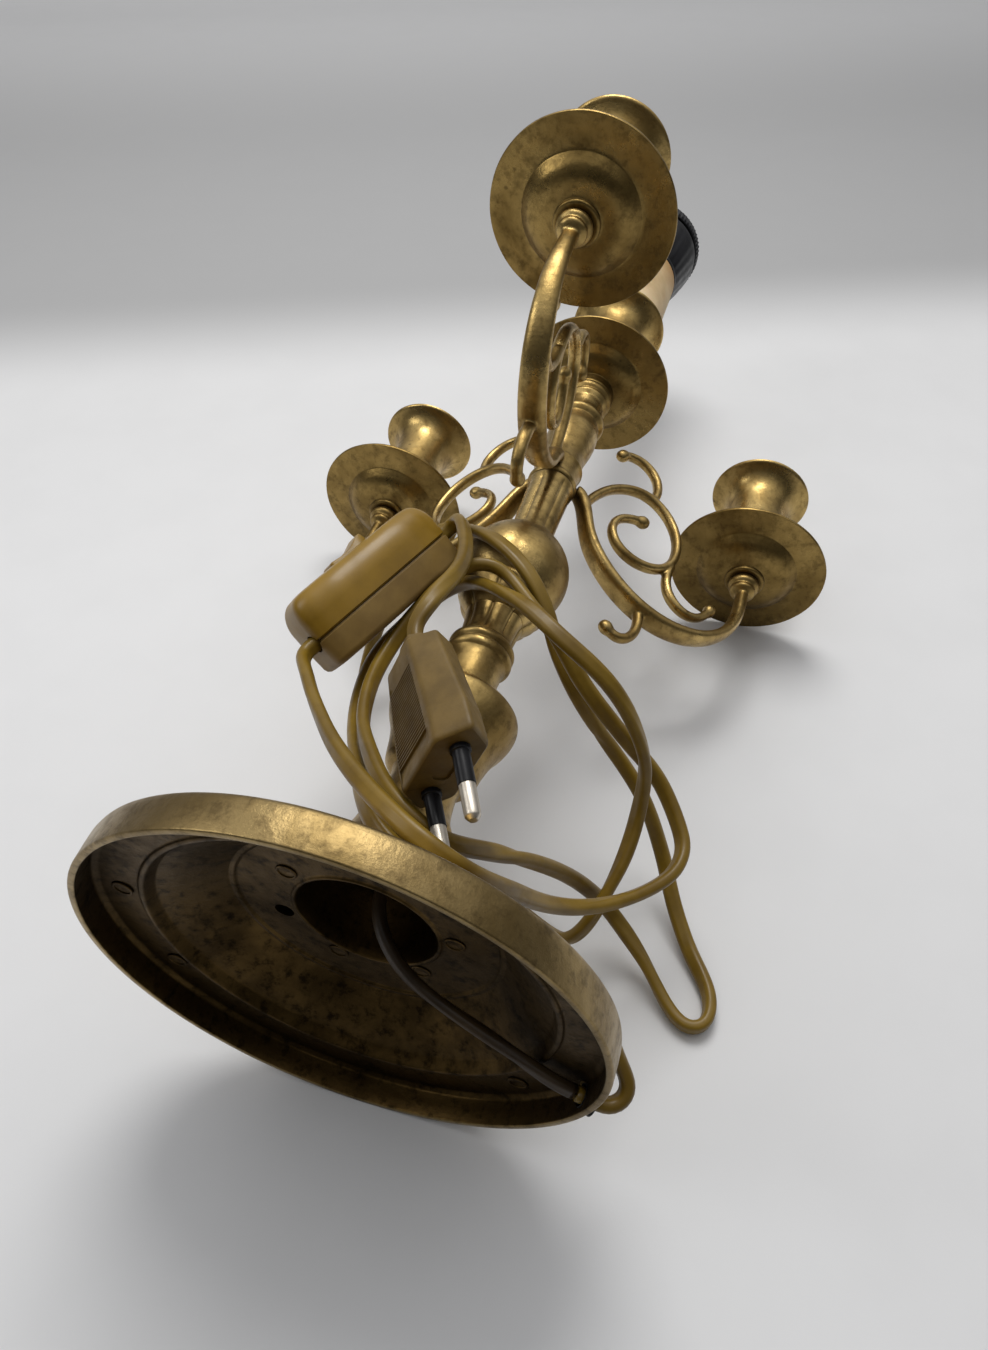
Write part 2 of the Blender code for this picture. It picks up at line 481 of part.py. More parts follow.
# mains lead from the base rim to the switch, in world millimetres before the
# shift along X: round the dome, over the neck, under the switch, along the
# column, a loop on the table, back up and round to the switch
ROUTE = [(5.3, -64.8, 38.8), (7.5, -68.2, 39.4), (10.8, -68.9, 41.8), (13.2, -66.3, 44.7), (15.9, -63.0, 49.5), (19.5, -58.5, 57.3),
         (24, -50, 66), (28, -37, 73), (28, -21, 81), (28, -6, 88), (35, 3, 89), (50, 12, 80), (68, 22, 70),
         (87, 30, 65), (110, 34, 62), (122, 29, 64), (128, 23, 70), (131, 15, 78), (129, 6, 84), (119, -4, 91),
         (110, -16, 95), (102, -26, 94), (99, -39, 87), (98, -47, 77), (96, -52, 68), (94, -55, 61),
         (93, -56, 54), (87, -56, 42), (77, -55, 36), (68, -52, 29), (61, -49, 23), (57, -44, 15),
         (64, -35, 8), (72, -23, 3), (79, -10, 3), (85, 6, 3), (93, 23, 3), (104, 38, 3), (120, 49, 3),
         (136, 55, 3), (148, 57, 11), (155, 54, 26), (158, 48, 43), (160, 41, 59), (161, 33, 72),
         (157, 24, 80), (150, 14, 86), (141, 4, 92), (134, -6, 91), (128, -13, 88), (122, -19, 81),
         (117, -22, 75), (109, -30, 67), (110, -39, 50), (108, -48, 40), (103, -57, 31), (98, -63, 20),
         (93, -67, 14), (85, -71, 9), (77, -76, 5), (71, -80, 3), (64, -85, 3), (58, -88, 3), (50, -88, 3),
         (47, -82, 3), (53, -75, 3), (63, -67, 7), (70, -56, 14), (72, -50, 20), (69, -41, 33),
         (57, -31, 54), (44, -22, 73), (38, -16, 81), (37, -10, 86), (42, -1, 87), (50, 7, 85), (62, 15, 81),
         (72, 21, 77), (89, 25, 75), (103, 25, 74), (113, 22, 78), (122, 15, 85), (127, 9, 91), (129, 1, 92),
         (128, -5, 89), (121, -12, 88), (114, -19, 88), (110, -25, 85), (105, -32, 76), (102, -43, 65),
         (101, -51, 56), (100, -56, 52), (98, -62, 45), (89, -69, 39), (84, -71, 37), (76, -70, 37),
         (69, -65, 37), (60, -57, 40), (51, -47, 46), (43, -38, 57), (32, -33, 78), (24, -28, 92),
         (23, -19, 100), (28, -8, 101), (38, 5, 97), (50, 18, 93), (62, 27.2, 88.1),
         (70.7, 33.9, 85.5), (79.1, 39.4, 83.7)]


def sw_point(x, y, z=0.0):
    return tuple((SW @ Vector((x * MM, y * MM, z * MM))) / MM)


shift = np.array([SHIFT_X, 0, SHIFT_Z])
exit_run = [tuple((WORLD @ ((edir * rr + Vector((0, 0, EXIT_Z))) * MM)) / MM) for rr in (61.6, 65.4)]
end_a = [sw_point(-SW_HALF - 6, ENTRY_A[1] - 0.6, -0.6), sw_point(-SW_HALF - 2.6, ENTRY_A[1])]
run = spread(bspline(exit_run + [tuple(np.array(p) + shift) for p in ROUTE] + end_a), 91, 10.0)
tube("mains_lead_1", [tuple(v) for v in run] + [sw_point(-SW_HALF + 2.0, ENTRY_A[1])], CORD_R, Matrix.Identity(4), "cord")
rear = PL @ (Vector((-2.6, 0, -41.4)) * MM) / MM
rear2 = PL @ (Vector((-2.6, 0, -47.5)) * MM) / MM
ROUTE_2 = [sw_point(SW_HALF - 2.0, ENTRY_B[1]), sw_point(SW_HALF + 4, ENTRY_B[1])] + \
    [tuple(np.array(p) + shift) for p in ((149, 18, 90), (144, 15, 93), (135, 11, 95), (123, 7, 98), (111, 5.5, 101.5),
                                               (101, 7, 103.5), (93, 8, 104))] + \
    [tuple(rear2), tuple(rear)]
tube("mains_lead_2", spread(bspline(ROUTE_2), 16, 10.0), CORD_R, Matrix.Identity(4), "cord")
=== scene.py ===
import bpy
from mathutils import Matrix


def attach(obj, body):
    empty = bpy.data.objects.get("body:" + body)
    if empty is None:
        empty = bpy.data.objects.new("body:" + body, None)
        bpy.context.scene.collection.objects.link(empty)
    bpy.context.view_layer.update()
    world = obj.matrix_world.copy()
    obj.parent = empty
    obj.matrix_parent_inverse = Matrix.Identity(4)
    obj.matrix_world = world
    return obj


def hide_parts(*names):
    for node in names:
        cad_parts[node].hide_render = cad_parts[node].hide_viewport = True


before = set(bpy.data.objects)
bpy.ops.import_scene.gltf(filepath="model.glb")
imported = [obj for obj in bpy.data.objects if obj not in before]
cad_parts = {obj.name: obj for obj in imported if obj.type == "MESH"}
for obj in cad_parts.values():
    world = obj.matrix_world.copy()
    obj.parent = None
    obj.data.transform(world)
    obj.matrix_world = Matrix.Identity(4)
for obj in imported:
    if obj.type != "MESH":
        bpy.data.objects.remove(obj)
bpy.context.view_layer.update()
import bpy
import bmesh
import math
import numpy as np
from mathutils import Matrix, Vector

MM = 0.001
# the same frame as the CAD part: local upright frame turned onto its side
BASE_R, TILT = 65.0, math.atan2(7.6, 223.6)
SHIFT_X, SHIFT_Z = -204.5, 0.03
ct, st = math.cos(TILT), math.sin(TILT)
WORLD = Matrix(((0, -st, ct, SHIFT_X * MM), (1, 0, 0, 0.0),
                (0, ct, st, (BASE_R * ct + SHIFT_Z) * MM), (0, 0, 0, 1)))
ARM_ANGLES = {"a": 90.0, "b": 210.0, "c": 330.0}
ARM_REACH, ARM_PAN_Z, CENTRE_PAN_Z, PAN_R, CUP_H = 85.5, 224.3, 268.8, 29.9, 48.0
EXIT_ANGLE, EXIT_Z = 202.0, 4.5

sc = bpy.context.scene
sc.view_settings.view_transform = "Standard"

# ------------------------------------------------------------------ camera
cam_data = bpy.data.cameras.new("camera")
cam_data.sensor_fit = "AUTO"
cam_data.sensor_width = 36.0
cam_data.lens = 36.0 * 980.0 / 1350.0
cam_data.clip_start, cam_data.clip_end = 0.01, 50
cam = bpy.data.objects.new("camera", cam_data)
sc.collection.objects.link(cam)
right = Vector((0.28702, -0.95792, 0.00294))
look = Vector((0.66756, 0.19782, -0.71780)).normalized()
right = (right - right.dot(look) * look).normalized()
up = right.cross(look)
cam.matrix_world = Matrix(((right.x, up.x, -look.x, -0.29157), (right.y, up.y, -look.y, -0.06382),
                           (right.z, up.z, -look.z, 0.27692), (0, 0, 0, 1)))
sc.camera = cam


# --------------------------------------------------------------- materials
class Nodes:
    def __init__(self, name):
        self.m = bpy.data.materials.new(name)
        self.m.use_nodes = True
        self.t = self.m.node_tree
        self.p = self.t.nodes["Principled BSDF"]
        self.co = self.t.nodes.new("ShaderNodeTexCoord").outputs["Object"]

    def link(self, a, b):
        self.t.links.new(a, b)

    def noise(self, scale, detail=6, rough=0.6, stretch=None, dist=0.0):
        n = self.t.nodes.new("ShaderNodeTexNoise")
        n.inputs["Scale"].default_value = scale
        n.inputs["Detail"].default_value = detail
        n.inputs["Roughness"].default_value = rough
        n.inputs["Distortion"].default_value = dist
        src = self.co
        if stretch:
            mp = self.t.nodes.new("ShaderNodeMapping")
            mp.inputs["Scale"].default_value = stretch
            self.link(self.co, mp.inputs["Vector"])
            src = mp.outputs["Vector"]
        self.link(src, n.inputs["Vector"])
        return n.outputs["Fac"]

    def voronoi(self, scale, feature="F1"):
        n = self.t.nodes.new("ShaderNodeTexVoronoi")
        n.inputs["Scale"].default_value = scale
        n.feature = feature
        self.link(self.co, n.inputs["Vector"])
        return n.outputs["Distance"]

    def ramp(self, fac, a, b, lo=0.0, hi=1.0):
        n = self.t.nodes.new("ShaderNodeMapRange")
        n.interpolation_type = "SMOOTHSTEP"
        n.inputs["From Min"].default_value = a
        n.inputs["From Max"].default_value = b
        n.inputs["To Min"].default_value = lo
        n.inputs["To Max"].default_value = hi
        self.link(fac, n.inputs["Value"])
        return n.outputs["Result"]

    def math(self, op, a, b):
        n = self.t.nodes.new("ShaderNodeMath")
        n.operation = op
        n.use_clamp = op in ("ADD", "MULTIPLY")
        for i, v in enumerate((a, b)):
            if isinstance(v, (int, float)):
                n.inputs[i].default_value = v
            else:
                self.link(v, n.inputs[i])
        return n.outputs[0]

    def mix(self, fac, a, b):
        n = self.t.nodes.new("ShaderNodeMix")
        n.data_type = "RGBA"
        for sock, v in ((n.inputs[6], a), (n.inputs[7], b)):
            if isinstance(v, tuple):
                sock.default_value = (*v, 1)
            else:
                self.link(v, sock)
        if isinstance(fac, (int, float)):
            n.inputs[0].default_value = fac
        else:
            self.link(fac, n.inputs[0])
        return n.outputs[2]

    def ao(self, dist):
        n = self.t.nodes.new("ShaderNodeAmbientOcclusion")
        n.inputs["Distance"].default_value = dist
        n.samples = 6
        return n.outputs["AO"]

    def bump(self, height, strength, dist, prev=None):
        n = self.t.nodes.new("ShaderNodeBump")
        n.inputs["Strength"].default_value = strength
        n.inputs["Distance"].default_value = dist
        self.link(height, n.inputs["Height"])
        if prev is not None:
            self.link(prev, n.inputs["Normal"])
        return n.outputs["Normal"]

    def done(self, colour, rough, normal=None):
        self.link(colour, self.p.inputs["Base Color"])
        if isinstance(rough, float):
            self.p.inputs["Roughness"].default_value = rough
        else:
            self.link(rough, self.p.inputs["Roughness"])
        if normal is not None:
            self.link(normal, self.p.inputs["Normal"])
        return self.m


def brass(name, bright, mid, dark, grime=0.5, r0=0.26, r1=0.46, pit=0.5):
    g = Nodes(name)
    big = g.noise(38, 7, 0.62, dist=0.4)
    fine = g.noise(260, 7, 0.68)
    grain = g.noise(1500, 3, 0.6)
    scr = g.noise(240, 5, 0.7, stretch=(9.0, 1.0, 1.6))
    # painted shade: ambient-occlusion mask that darkens crevices and recesses in the colour and raises roughness there
    crev_shade = g.ramp(g.ao(0.010), 0.42, 0.93, 1.0, 0.0)
    spots = g.ramp(g.voronoi(150), 0.05, 0.13, 1.0, 0.0)
    spots = g.math("MULTIPLY", spots, g.ramp(g.noise(70, 3, 0.5), 0.52, 0.62))
    col = g.mix(g.ramp(big, 0.36, 0.66), bright, mid)
    col = g.mix(g.ramp(fine, 0.46, 0.70, 0.0, grime), col, dark)
    col = g.mix(g.ramp(scr, 0.56, 0.74, 0.0, 0.30), col, dark)
    # painted crevice shade mixed into the colour, toward the dark tarnish tone
    col = g.mix(g.math("MULTIPLY", crev_shade, 0.72), col, dark)
    col = g.mix(g.math("MULTIPLY", spots, pit), col, (0.03, 0.02, 0.01))
    rough = g.math("ADD", g.ramp(big, 0.3, 0.72, r0, r1), g.ramp(fine, 0.4, 0.7, 0.0, 0.10))
    rough = g.math("ADD", rough, g.math("MULTIPLY", crev_shade, 0.12))
    n = g.bump(fine, 0.26, 0.0007)
    n = g.bump(grain, 0.10, 0.0002, n)
    n = g.bump(scr, 0.08, 0.0004, n)
    g.p.inputs["Metallic"].default_value = 1.0
    return g.done(col, rough, n)


M_BRASS = brass("brass_aged", (0.56, 0.395, 0.150), (0.315, 0.208, 0.069), (0.078, 0.049, 0.017), 0.54, 0.21, 0.42)
# pans: darker copy of the brass, a painted reflection of the shaded floor beneath the stand
M_PAN_SHADED = brass("brass_pan_painted_shade", (0.330, 0.222, 0.074), (0.185, 0.119, 0.036), (0.048, 0.029, 0.010), 0.50, 0.23, 0.43)
M_RIM = brass("brass_rim", (0.34, 0.244, 0.106), (0.185, 0.126, 0.048), (0.060, 0.038, 0.016), 0.58, 0.26, 0.44)
# interior brass: real grime plus painted shade, a much darker copy of the brass for the faces inside the dish and the
# marks there
M_INNER_GRIME_SHADE = brass("brass_inner_grime_and_painted_shade", (0.110, 0.067, 0.022), (0.050, 0.030, 0.010), (0.008, 0.005, 0.002), 0.85, 0.30, 0.54, 0.8)


def plastic(name, col, col2, rough, rough2, speck=0.25, bump=0.05, scale=90, coat=0.0, sss=0.0):
    g = Nodes(name)
    a = g.noise(scale, 6, 0.6)
    b = g.noise(scale * 9, 4, 0.65)
    c = g.mix(g.ramp(a, 0.34, 0.68), col, col2)
    c = g.mix(g.ramp(b, 0.58, 0.78, 0.0, speck), c, tuple(x * 0.45 for x in col))
    # painted shade: ambient occlusion darkens creases, seams and recesses in the colour
    c = g.mix(g.ramp(g.ao(0.004), 0.35, 0.9, 0.45, 0.0), c, tuple(x * 0.25 for x in col))
    r = g.ramp(g.noise(scale * 2.3, 5, 0.6), 0.35, 0.7, rough, rough2)
    n = g.bump(b, bump, 0.0003)
    g.p.inputs["Coat Weight"].default_value = coat
    g.p.inputs["Coat Roughness"].default_value = 0.18
    g.p.inputs["IOR"].default_value = 1.47
    g.p.inputs["Specular IOR Level"].default_value = 0.38
    if sss:
        g.p.inputs["Subsurface Weight"].default_value = sss
        g.p.inputs["Subsurface Scale"].default_value = 0.0015
    return g.done(c, r, n)


M_CORD = plastic("flex_gold", (0.215, 0.132, 0.013), (0.140, 0.082, 0.008), 0.34, 0.48, 0.12, 0.05, 60, 0.06)
# lead inside the base: darker copy of the flex colour, painted shade of the dish interior
M_LEAD_SHADED = plastic("flex_painted_shade", (0.060, 0.037, 0.016), (0.028, 0.017, 0.008), 0.34, 0.5, 0.2, 0.05, 60)
M_SW_TOP = plastic("switch_top_plastic", (0.275, 0.158, 0.012), (0.205, 0.116, 0.009), 0.30, 0.42, 0.10, 0.03, 50, 0.08)
M_SW_LOW = plastic("switch_low_plastic", (0.235, 0.148, 0.040), (0.175, 0.106, 0.028), 0.44, 0.58, 0.25, 0.08, 70)
M_PLUG = plastic("plug_moulding", (0.165, 0.102, 0.023), (0.118, 0.071, 0.014), 0.44, 0.60, 0.28, 0.14, 120)
M_BLACK = plastic("black_bakelite", (0.007, 0.007, 0.009), (0.004, 0.004, 0.005), 0.32, 0.46, 0.2, 0.05, 90, 0.06)
M_BLACK.node_tree.nodes["Principled BSDF"].inputs["Specular IOR Level"].default_value = 0.22
M_CREAM = plastic("cream_sleeve", (0.78, 0.61, 0.37), (0.50, 0.34, 0.16), 0.5, 0.62, 0.25, 0.08, 26, sss=0.1)
# heat stain on the sleeve under the lampholder
st_t = M_CREAM.node_tree
st_xyz = st_t.nodes.new("ShaderNodeSeparateXYZ")
st_co = st_t.nodes.new("ShaderNodeTexCoord")
st_t.links.new(st_co.outputs["Object"], st_xyz.inputs[0])
st_r = st_t.nodes.new("ShaderNodeMapRange")
st_r.interpolation_type = "SMOOTHSTEP"
st_r.inputs["From Min"].default_value, st_r.inputs["From Max"].default_value = 0.140, 0.160
st_r.inputs["To Max"].default_value = 0.8
st_t.links.new(st_xyz.outputs["X"], st_r.inputs["Value"])
st_m = st_t.nodes.new("ShaderNodeMix")
st_m.data_type = "RGBA"
st_p = st_t.nodes["Principled BSDF"]
st_t.links.new(st_r.outputs["Result"], st_m.inputs[0])
st_t.links.new(st_p.inputs["Base Color"].links[0].from_socket, st_m.inputs[6])
st_m.inputs[7].default_value = (0.46, 0.255, 0.085, 1)
st_t.links.new(st_m.outputs[2], st_p.inputs["Base Color"])
M_CERAMIC = plastic("white_ceramic", (0.70, 0.68, 0.62), (0.58, 0.55, 0.48), 0.4, 0.5, 0.2, 0.06, 120)


def steel(name, a, b, r0, r1):
    g = Nodes(name)
    big, fine = g.noise(120, 6, 0.6), g.noise(900, 4, 0.6, stretch=(1, 6, 1))
    g.p.inputs["Metallic"].default_value = 1.0
    c = g.mix(g.ramp(big, 0.35, 0.7), a, b)
    # painted shade: ambient occlusion darkens recesses in the colour
    c = g.mix(g.ramp(g.ao(0.004), 0.3, 0.9, 0.5, 0.0), c, (0.06, 0.05, 0.04))
    return g.done(c, g.ramp(fine, 0.3, 0.7, r0, r1), g.bump(fine, 0.12, 0.0002))


M_NICKEL = steel("nickel_plate", (0.62, 0.57, 0.49), (0.46, 0.41, 0.34), 0.28, 0.46)
M_SOCKET = steel("socket_brass_sheet", (0.66, 0.50, 0.24), (0.48, 0.34, 0.15), 0.26, 0.42)


# ------------------------------------------------------------- mesh helpers
def make(name, verts_mm, faces, mats, world=None, face_mat=None, body="stand", smooth=True):
    me = bpy.data.meshes.new(name)
    v = np.array(verts_mm, float) * MM
    if world is not None:
        w = np.array(world)
        v = v @ w[:3, :3].T + w[:3, 3]
    me.from_pydata([tuple(p) for p in v], [], faces)
    for m in (mats if isinstance(mats, (list, tuple)) else [mats]):
        me.materials.append(m)
    if face_mat is not None:
        me.polygons.foreach_set("material_index", face_mat)
    bm = bmesh.new()
    bm.from_mesh(me)
    bmesh.ops.recalc_face_normals(bm, faces=bm.faces[:])
    bm.to_mesh(me)
    bm.free()
    if smooth:
        me.shade_smooth()
    ob = bpy.data.objects.new(name, me)
    sc.collection.objects.link(ob)
    if body:
        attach(ob, body)
    return ob


def cr(pts, n=6):
    """Catmull-Rom through the points, for the curved runs of a profile."""
    p = np.array(pts, float)
    q = np.vstack([2 * p[0] - p[1], p, 2 * p[-1] - p[-2]])
    out = []
    for i in range(1, len(q) - 2):
        for t in np.linspace(0, 1, n, endpoint=False):
            a, b, c, d = q[i - 1], q[i], q[i + 1], q[i + 2]
            out.append(tuple(0.5 * ((2 * b) + (c - a) * t + (2 * a - 5 * b + 4 * c - d) * t * t +
                                    (3 * b - a - 3 * c + d) * t ** 3)))
    out.append(tuple(p[-1]))
    return out


def fillet(prof, cut=0.35, closed=True, steps=4):
    """Round every real corner of a profile."""
    p = [np.array(q, float) for q in prof]
    n, out = len(p), []
    for i in range(n):
        if not closed and i in (0, n - 1):
            out.append(tuple(p[i]))
            continue
        a, b, c = p[i - 1], p[i], p[(i + 1) % n]
        la, lc = np.linalg.norm(a - b), np.linalg.norm(c - b)
        if la < 1e-6 or lc < 1e-6:
            continue
        cosang = float((a - b) @ (c - b) / la / lc)
        if cosang < -0.94:
            out.append(tuple(b))
            continue
        k = min(cut, 0.45 * la, 0.45 * lc)
        s, e = b + (a - b) * k / la, b + (c - b) * k / lc
        for t in np.linspace(0, 1, steps):
            out.append(tuple((1 - t) ** 2 * s + 2 * t * (1 - t) * b + t * t * e))
    return out


def lathe(name, prof, mats, world=WORLD, steps=96, mod=None, pick=None, body="stand", cut=0.35, closed=True):
    pr = fillet(prof, cut, closed)
    th = np.linspace(0, 2 * math.pi, steps, endpoint=False)
    verts, idx = [], []
    for r, z in pr:
        if r < 1e-4:
            idx.append([len(verts)] * steps)
            verts.append((0, 0, z))
            continue
        idx.append(list(range(len(verts), len(verts) + steps)))
        for t in th:
            rr = mod(r, z, t) if mod else r
            verts.append((rr * math.cos(t), rr * math.sin(t), z))
    faces, fm = [], []
    m = len(pr)
    for i in range(m if closed else m - 1):
        a, b = idx[i], idx[(i + 1) % m]
        mi = pick(pr[i], pr[(i + 1) % m]) if pick else 0
        for j in range(steps):
            k = (j + 1) % steps
            f = []
            for x in (a[j], a[k], b[k], b[j]):
                if x not in f:
                    f.append(x)
            if len(f) > 2:
                faces.append(tuple(f))
                fm.append(mi)
    return make(name, verts, faces, mats, world, fm, body)


def local_at(centre, ang_deg=0.0):
    return WORLD @ Matrix.Translation(Vector(centre) * MM) @ Matrix.Rotation(math.radians(ang_deg), 4, "Z")


def frame_at(centre_mm, x, y, z):
    m = Matrix.Identity(4)
    for i in range(3):
        m[i][0], m[i][1], m[i][2] = x[i], y[i], z[i]
        m[i][3] = centre_mm[i] * MM
    return m


def cut_by(ob, cutter, op="DIFFERENCE"):
    m = ob.modifiers.new("cut", "BOOLEAN")
    m.operation, m.solver, m.object = op, "EXACT", cutter
    bpy.context.view_layer.update()
    me = bpy.data.meshes.new_from_object(ob.evaluated_get(bpy.context.evaluated_depsgraph_get()))
    ob.modifiers.clear()
    old = ob.data
    ob.data = me
    bpy.data.meshes.remove(old)


def solid_cyl(name, r, h, world, seg=48):
    t = np.linspace(0, 2 * math.pi, seg, endpoint=False)
    v = [(r * math.cos(a), r * math.sin(a), z) for z in (-h / 2, h / 2) for a in t]
    f = [(i, (i + 1) % seg, seg + (i + 1) % seg, seg + i) for i in range(seg)]
    f += [tuple(range(seg))[::-1], tuple(range(seg, 2 * seg))]
    return make(name, v, f, [], world, None, None, False)


# -------------------------------------------------------------------- base
base_prof = cr([(12.4, 49.95), (13.1, 46), (14.5, 41), (17.6, 33.4), (19.2, 30.4)], 5) + \
    [(19.7, 29.4), (20.5, 28.6), (20.5, 25.7)] + \
    cr([(21.4, 24.6), (26, 24.1), (31, 23.5), (36.5, 21.6), (40.5, 18.6), (44.5, 15.6), (50.2, 13.0)], 5) + \
    [(51.4, 12.6), (52.2, 11.3)] + cr([(53.2, 10.7), (58, 10.3), (62.4, 10.1)], 3) + \
    cr([(63.6, 9.9), (64.8, 9.0), (65.2, 7.4)], 4) + [(65.15, 4.0), (65.0, 0.0), (63.2, 0.0), (63.2, 4.0), (63.3, 6.8),
     (62.0, 7.8), (52.4, 8.3), (51.9, 7.6), (50.8, 7.6), (50.2, 8.8)] + \
    cr([(49.2, 10.6), (45.6, 12.6), (41.5, 15.6), (37.6, 18.6), (35.4, 20.2)], 5) + \
    [(34.2, 20.1), (33.6, 20.8), (19.6, 20.8), (19.0, 20.2), (18.3, 20.4)] + \
    cr([(17.8, 23), (17.4, 26), (16.2, 31), (14.2, 36.4), (12.4, 41), (11.8, 46.5)], 4) + [(5.2, 46.5), (5.2, 49.95)]


def base_pick(a, b):
    r, z = (a[0] + b[0]) / 2, (a[1] + b[1]) / 2
    if r > 64.2 or z < 0.3:
        return 1
    outer = np.interp(r, [18, 20.4, 31, 36.5, 44, 50.6, 52, 62.6, 64.9], [31, 25, 23.2, 21.4, 15.6, 12.4, 11, 9.9, 8.8])
    # inner faces take the darker interior brass (grime plus painted shade)
    inside = (r < 18.4 and z < 46.6 and r < np.interp(z, [20, 26, 33, 41, 46.6], [18.6, 18.2, 15.6, 13.0, 12.1])) or \
        (r >= 18.4 and z < outer - 1.0)
    return 2 if inside else 0


def base_mod(r, z, t):
    # slight unevenness of the hand-finished edge
    if r > 60:
        return r - 0.05 * (0.5 + 0.5 * math.sin(5 * t + 0.7)) - 0.03 * (0.5 + 0.5 * math.sin(13 * t))
    return r


base = lathe("vis_base_dish", base_prof, [M_BRASS, M_RIM, M_INNER_GRIME_SHADE], steps=160, mod=base_mod, pick=base_pick, cut=0.5)
ea = math.radians(EXIT_ANGLE)
edir = Vector((math.cos(ea), math.sin(ea), 0))
EXIT_M = WORLD @ Matrix.Translation(Vector((0, 0, EXIT_Z)) * MM) @ Matrix.Rotation(ea, 4, "Z") @ \
    Matrix.Rotation(math.pi / 2, 4, "Y")
hole = solid_cyl("hole_cut", 3.1, 12, EXIT_M @ Matrix.Translation((0, 0, 64 * MM)))
cut_by(base, hole)
bpy.data.objects.remove(hole)
# one bored hole through the inner shelf
hole = solid_cyl("hole_cut2", 2.6, 6.6, WORLD @ Matrix.Translation(Vector((23.2 * math.cos(math.radians(346)),
                 23.2 * math.sin(math.radians(346)), 20.2)) * MM))
# painted shade: the hole's walls and bottom take the darker interior brass
for m in (M_BRASS, M_RIM, M_INNER_GRIME_SHADE):
    hole.data.materials.append(m)
hole.data.polygons.foreach_set("material_index", [2] * len(hole.data.polygons))
cut_by(base, hole)
bpy.data.objects.remove(hole)
base.data.shade_smooth()
base.data.set_sharp_from_angle(angle=math.radians(50))
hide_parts("base_dish")
# cast ring marks on the inner faces
marks = [(23.6, 39), (22.6, 176.5), (22.4, 235), (22.2, 296)]
for i, (r, a) in enumerate(marks + [(56.4, 10.7), (55.4, 335), (56.6, 222), (56.4, 120)]):
    z = 20.8 if r < 40 else 8.05
    c = Vector((r * math.cos(math.radians(a)), r * math.sin(math.radians(a)), z))
    ring_m = WORLD @ Matrix.Translation(c * MM)
    o = lathe("vis_base_mark_%d" % i, [(2.75, 0.3), (2.75, -0.4), (2.3, -0.5), (2.05, -0.4), (2.05, -0.12), (0, -0.12), (0, 0.3)], M_INNER_GRIME_SHADE, ring_m, 32, cut=0.25)

lathe_list = []


def swap(ob, node):
    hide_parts(node)
    return ob


swap(lathe("vis_exit_grommet", [(3.9, 66.3), (3.6, 65.7), (2.95, 65.7), (2.95, 62.9), (2.66, 62.9), (2.66, 66.5)], M_BLACK,
           EXIT_M, 40, cut=0.2), "exit_grommet")

# ------------------------------------------------------------------ column
BORE = 5.05


def stack(name, node, prof, **kw):
    z1, z0 = prof[0][1] - 0.05, prof[-1][1]
    p = [(prof[0][0], z1)] + list(prof[1:]) + [(BORE, z0), (BORE, z1)]
    return swap(lathe(name, p, M_BRASS, steps=kw.pop("steps", 96), **kw), node)


stack("vis_bell_flange", "bell_flange",
      cr([(8.9, 97), (9.2, 94.6), (12.2, 92.3), (16.4, 91.0)], 5) + cr([(17.8, 90.4), (18.7, 89.2), (18.9, 87.4), (18.5, 85.2)], 4) +
      cr([(17.6, 82.6), (15.4, 78.0), (14.1, 73.4), (13.3, 69.0)], 5) + cr([(12.9, 67.2), (11.6, 65.8), (10.0, 65.0)], 4) +
      cr([(9.6, 63), (9.5, 60), (10.3, 54), (12.2, 50)], 5))
stack("vis_bead_collar", "bead_collar",
      [(8.7, 117)] + cr([(9.2, 116.4), (10.2, 115.4), (10.3, 114.2), (9.6, 113.3)], 4) + [(9.3, 113.0)] +
      cr([(9.7, 112.6), (10.4, 111.7), (10.2, 110.3), (9.2, 109.2)], 4) + cr([(8.7, 107.8), (8.5, 103), (8.6, 99), (8.9, 97)], 4), cut=0.2)


def flutes(n, depth, z0, z1, fade=2.0, rmin=6.6, rmax=99.0, ph=0.0):
    """Rounded lobes parted by narrow grooves."""
    def f(r, z, t):
        if r < rmin or r > rmax:
            return r
        w = min(1.0, max(0.0, (z - z0) / fade)) * min(1.0, max(0.0, (z1 - z) / fade))
        return r - depth * w * (1 - abs(math.sin(n * (t - ph) / 2)) ** 0.42)
    return f


stack("vis_fluted_waist", "fluted_waist",
      cr([(9.5, 128), (9.0, 126), (8.6, 123), (8.4, 120), (8.7, 117)], 5), mod=flutes(8, 1.0, 117.4, 140.0, 1.6), steps=192)
ball_prof = []
for k in range(25):
    a = math.radians(60 - k * 4.9)
    ball_prof.append((17.9 * math.cos(a), 151 + 17.9 * math.sin(a)))
stack("vis_ball_knob", "ball_knob",
      cr([(8.6, 168.4), (9.3, 167.9), (9.3, 167.0)], 3) + ball_prof +
      cr([(14.6, 138.6), (15.0, 137.6), (14.6, 136.4)], 3) + cr([(13.8, 135.2), (12.8, 132.4), (11.0, 130.0), (9.5, 128)], 5), steps=192,
      mod=flutes(8, 1.0, 110.0, 137.6, 2.2, 6.6, 15.2))
stack("vis_upper_shaft", "upper_shaft",
      cr([(8.1, 199), (8.45, 198.2), (8.3, 196.8)], 3) + cr([(8.1, 196), (7.9, 188), (7.7, 180), (7.5, 172), (7.6, 169.6)], 5) + [(8.2, 168.4)],
      mod=flutes(6, 0.85, 170.2, 197.4, 1.6, ph=math.radians(12)), steps=192)
stack("vis_arm_hub", "arm_hub",
      [(8.3, 211)] + cr([(8.8, 210.4), (9.0, 209.6), (8.6, 208.6)], 3) + [(8.4, 207.8), (8.3, 201.8)] +
      cr([(8.6, 201.4), (9.0, 200.6), (8.8, 199.6)], 3) + [(8.3, 199)], cut=0.25)
